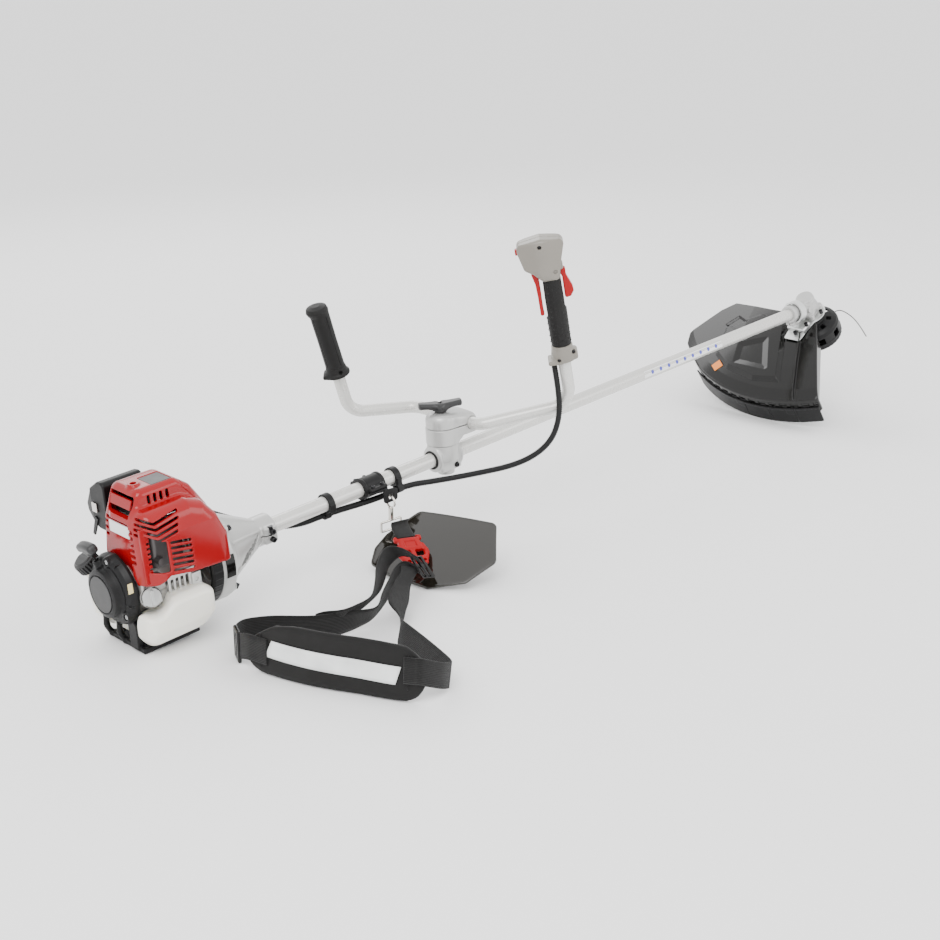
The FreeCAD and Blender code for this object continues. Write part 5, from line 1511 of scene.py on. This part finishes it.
def puffed(piece, held):
    """Blows a closed cloth up a little between its held seams."""
    before = np.array([vertex.co for vertex in piece.data.vertices])
    seam = piece.vertex_groups.new(name="seam")
    seam.add([int(i) for i in held], 1.0, "REPLACE")
    cloth = piece.modifiers.new("cloth", "CLOTH")
    cloth.settings.use_pressure = True
    cloth.settings.uniform_pressure_force = 4
    cloth.settings.vertex_group_mass = "seam"
    cloth.settings.quality = 6
    cloth.settings.tension_stiffness = cloth.settings.compression_stiffness = 20
    cloth.settings.effector_weights.gravity = 0
    cloth.point_cache.frame_start, cloth.point_cache.frame_end = 1, CLOTH_FRAMES
    scene = bpy.context.scene
    for frame_number in range(1, CLOTH_FRAMES + 1):
        scene.frame_set(frame_number)
    applied(piece)
    scene.frame_set(1)
    after = np.array([vertex.co for vertex in piece.data.vertices])
    move = after - before
    size = np.linalg.norm(move, axis=1, keepdims=True)
    after = before + move / np.maximum(size / MOST_SWELL, 1)
    after[:, 2] = np.maximum(after[:, 2], LOWEST)
    piece.data.vertices.foreach_set("co", after.reshape(-1))


BUCKLE = facing((434, -86, 61), (-0.36, -0.84, -0.40), (0.93, -0.36, 0))


def make_harness():
    """The pad and straps, with the adjusters, the buckle and the hip plate."""
    make_pad()

    def adjuster(p):
        q = inside(p, facing((39, -156, 25.6), (0.91, -0.42, 0), (0.42, 0.91, 0)))
        shape = brick(q, (-15, -25, -3), (15, 25, 3), 2.6)
        shape = carve(shape, brick(q, (-9.5, -20.5, -9), (-2.5, 20.5, 9), 1.5), 1)
        shape = carve(shape, brick(q, (2.5, -20.5, -9), (9.5, 20.5, 9), 1.5), 1)
        for y in range(-16, 17, 8):
            shape = join(shape, rod(q, (-2, y, 2.6), (2, y, 2.6), 0.9, 0.3), 0.8)
        return shape
    sculpt("strap_adjuster", adjuster, (20, -178, 0.3), (60, -134, 52), 1.0, BLACK_GLOSS, "harness",
           (), FLOOR)

    def small_adjuster(p):
        q = inside(p, facing((384, -178, 52), (0.85, 0.3, 0.4), (0.2, -0.9, 0.3)))
        shape = brick(q, (-12, -23, -2.4), (12, 23, 2.4), 2.2)
        shape = carve(shape, brick(q, (-8, -19, -9), (-2.2, 19, 9), 1.2), 1)
        return carve(shape, brick(q, (2.2, -19, -9), (8, 19, 9), 1.2), 1)
    sculpt("end_adjuster", small_adjuster, (352, -206, 22), (416, -150, 82), 1.0, BLACK_GLOSS, "harness",
           (), FLOOR)

    def buckle(p):
        x, y, z = p.T
        mirrored = np.stack((np.abs(x), y, z), 1)
        shape = brick(p, (-19, -5.5, 2), (19, 5.5, 30), 4)
        shape = join(shape, brick(p, (-24, -4, -4), (24, 4, 6), 3), 3)
        shape = carve(shape, brick(p, (-17, -9, -1.2), (17, 9, 2.2), 1), 0.8)
        shape = carve(shape, brick(p, (-10, 3.6, 10), (10, 8, 24), 1.5), 1)
        arm = join(rod(mirrored, (19, 0, 16), (24, 0, 34), 4.4, 2),
                   rod(mirrored, (24, 0, 34), (17, 0, 52), 4.4, 2), 4)
        shape = join(shape, arm, 3)
        male = brick(p, (-19, -4.5, 44), (19, 4.5, 62), 3.5)
        male = carve(male, brick(p, (-16, -9, 53), (16, 9, 58), 1.5), 1)
        shape = join(shape, male, 3)
        return join(shape, brick(p, (-4, -3.6, 28), (4, 3.6, 48), 2), 2)
    sculpt("buckle_body", buckle, (-32, -8, -8), (32, 8, 68), 1.0, RED_DULL, "harness",
           ("harness_buckle",), FLOOR, where=BUCKLE)
    ribbon("hook_webbing", [((432, -50, 80), (464, -56, 80)), ((428, -54, 74), (459, -62, 74)),
                            ((419, -72, 68), (449, -83, 68)), ((416, -82, 64), (446, -93, 64))], 2.2)
    ribbon("buckle_webbing", [((392, -132, 38), (424, -144, 38)), ((382, -146, 44), (412, -160, 44)),
                              ((374, -158, 50), (398, -172, 48)), ((368, -168, 54), (388, -180, 50))])

    across = Vector((0.32, -0.947, 0)).normalized()
    up = Vector((0.80, 0.27, 0.54))
    up = (up - across * up.dot(across)).normalized()
    plane = facing((455, -118, 43), across.cross(up), across)

    def plate(p):
        q = inside(p, plane)
        x, y, z = q.T
        shape = [(-99, -14), (-92, -46), (-50, -62), (27, -71), (86, -46), (119, 5), (88, 81), (-54, 77),
                 (-91, 17)]
        curved = z + np.square(x / 100) * 4 + np.square(y / 70) * 3
        side = outline(x, y, drawn_in(shape, 13)) - 13
        dished = slab(side, curved, -2, 2, 1.4)
        lip = np.hypot(side + 1.8, curved) - 2.4
        return join(dished, lip, 1)
    low, high = bounds_of(plane, (-102, -74, -14), (122, 86, 5))
    low[2] = max(low[2], 0.3)                # not below the floor
    sculpt("hip_plate", plate, low, high, 1.2, SMOKE, "harness", ("hip_pad",), FLOOR)


def make_stage_and_camera():
    """A plain pale floor, and the camera at the viewing angle."""
    corners = [(x, y, 0) for x, y in ((-90, -90), (90, -90), (90, 90), (-90, 90))]
    floor = linked("floor", smooth_mesh("floor", corners, [(0, 1, 2, 3)]))
    floor.location.z = -0.0004               # just below what stands on it
    floor.data.materials.append(surface("pale_floor", (0.93, 0.93, 0.93), 0.75, mottle=0.004,
                                        grain=(60, 0.02)))
    camera = linked("camera", bpy.data.cameras.new("camera"))
    camera.location = at((-982.6, -1762.4, 1024.9))
    camera.rotation_euler = (math.radians(71.15), 0, math.radians(-44.4))
    camera.data.lens = 55.72
    camera.data.clip_end = 60
    bpy.context.scene.camera = camera


def area_light(name, place, target, width, height, power):
    """A rectangular light that faces a target."""
    light = bpy.data.lights.new(name, "AREA")
    light.shape = "RECTANGLE"
    light.size, light.size_y = width, height
    light.energy = power
    lamp = linked(name, light)
    lamp.location = place
    lamp.rotation_euler = (Vector(target) - Vector(place)).to_track_quat("-Z", "Y").to_euler()


def make_lights():
    """A white surround with three soft lights."""
    world = bpy.data.worlds.new("studio")
    world.use_nodes = True
    sky = world.node_tree.nodes["Background"]
    sky.inputs["Color"].default_value = (1, 1, 1, 1)
    sky.inputs["Strength"].default_value = 1.8
    bpy.context.scene.world = world
    area_light("key", (-2.6, -1.6, 3.0), (-0.2, 0, 0.1), 2.2, 2.2, 95)
    area_light("fill", (1.8, -3.0, 1.8), (0, 0, 0.1), 2.6, 1.6, 38)
    area_light("back", (1.0, 3.0, 2.4), (0, 0, 0.2), 3.0, 1.4, 45)


def repaint():
    """The CAD nodes that show as they are get their procedural materials."""
    paints = {
        PAINT: ("outer_tube", "handlebar"),
        CAST: ("crankcase", "cylinder_block", "carburetor", "piston", "flywheel_fan"),
        STEEL: ("crankshaft", "clutch_shoes", "clutch_drum", "drive_shaft", "drive_pinion", "output_shaft",
                "throttle_cam"),
        BLACK: ("rocker_cover", "choke_lever", "recoil_pulley", "shaft_liner", "line_spool"),
        SCREW: ("clamp_bolt",), CHROME: ("snap_hook", "snap_gate"), HOT_STEEL: ("muffler",),
        RUBBER: ("primer_bulb",),
    }
    for material, nodes in paints.items():
        for node in nodes:
            frame["nodes"][node].data.materials.clear()
            frame["nodes"][node].data.materials.append(material)


repaint()
make_stage_and_camera()
make_lights()
make_cover()
make_engine()
make_cords()
make_post()
make_left_grip()
make_right_grip()
make_guard()
make_gear_case()
make_tube_trim()
make_harness()
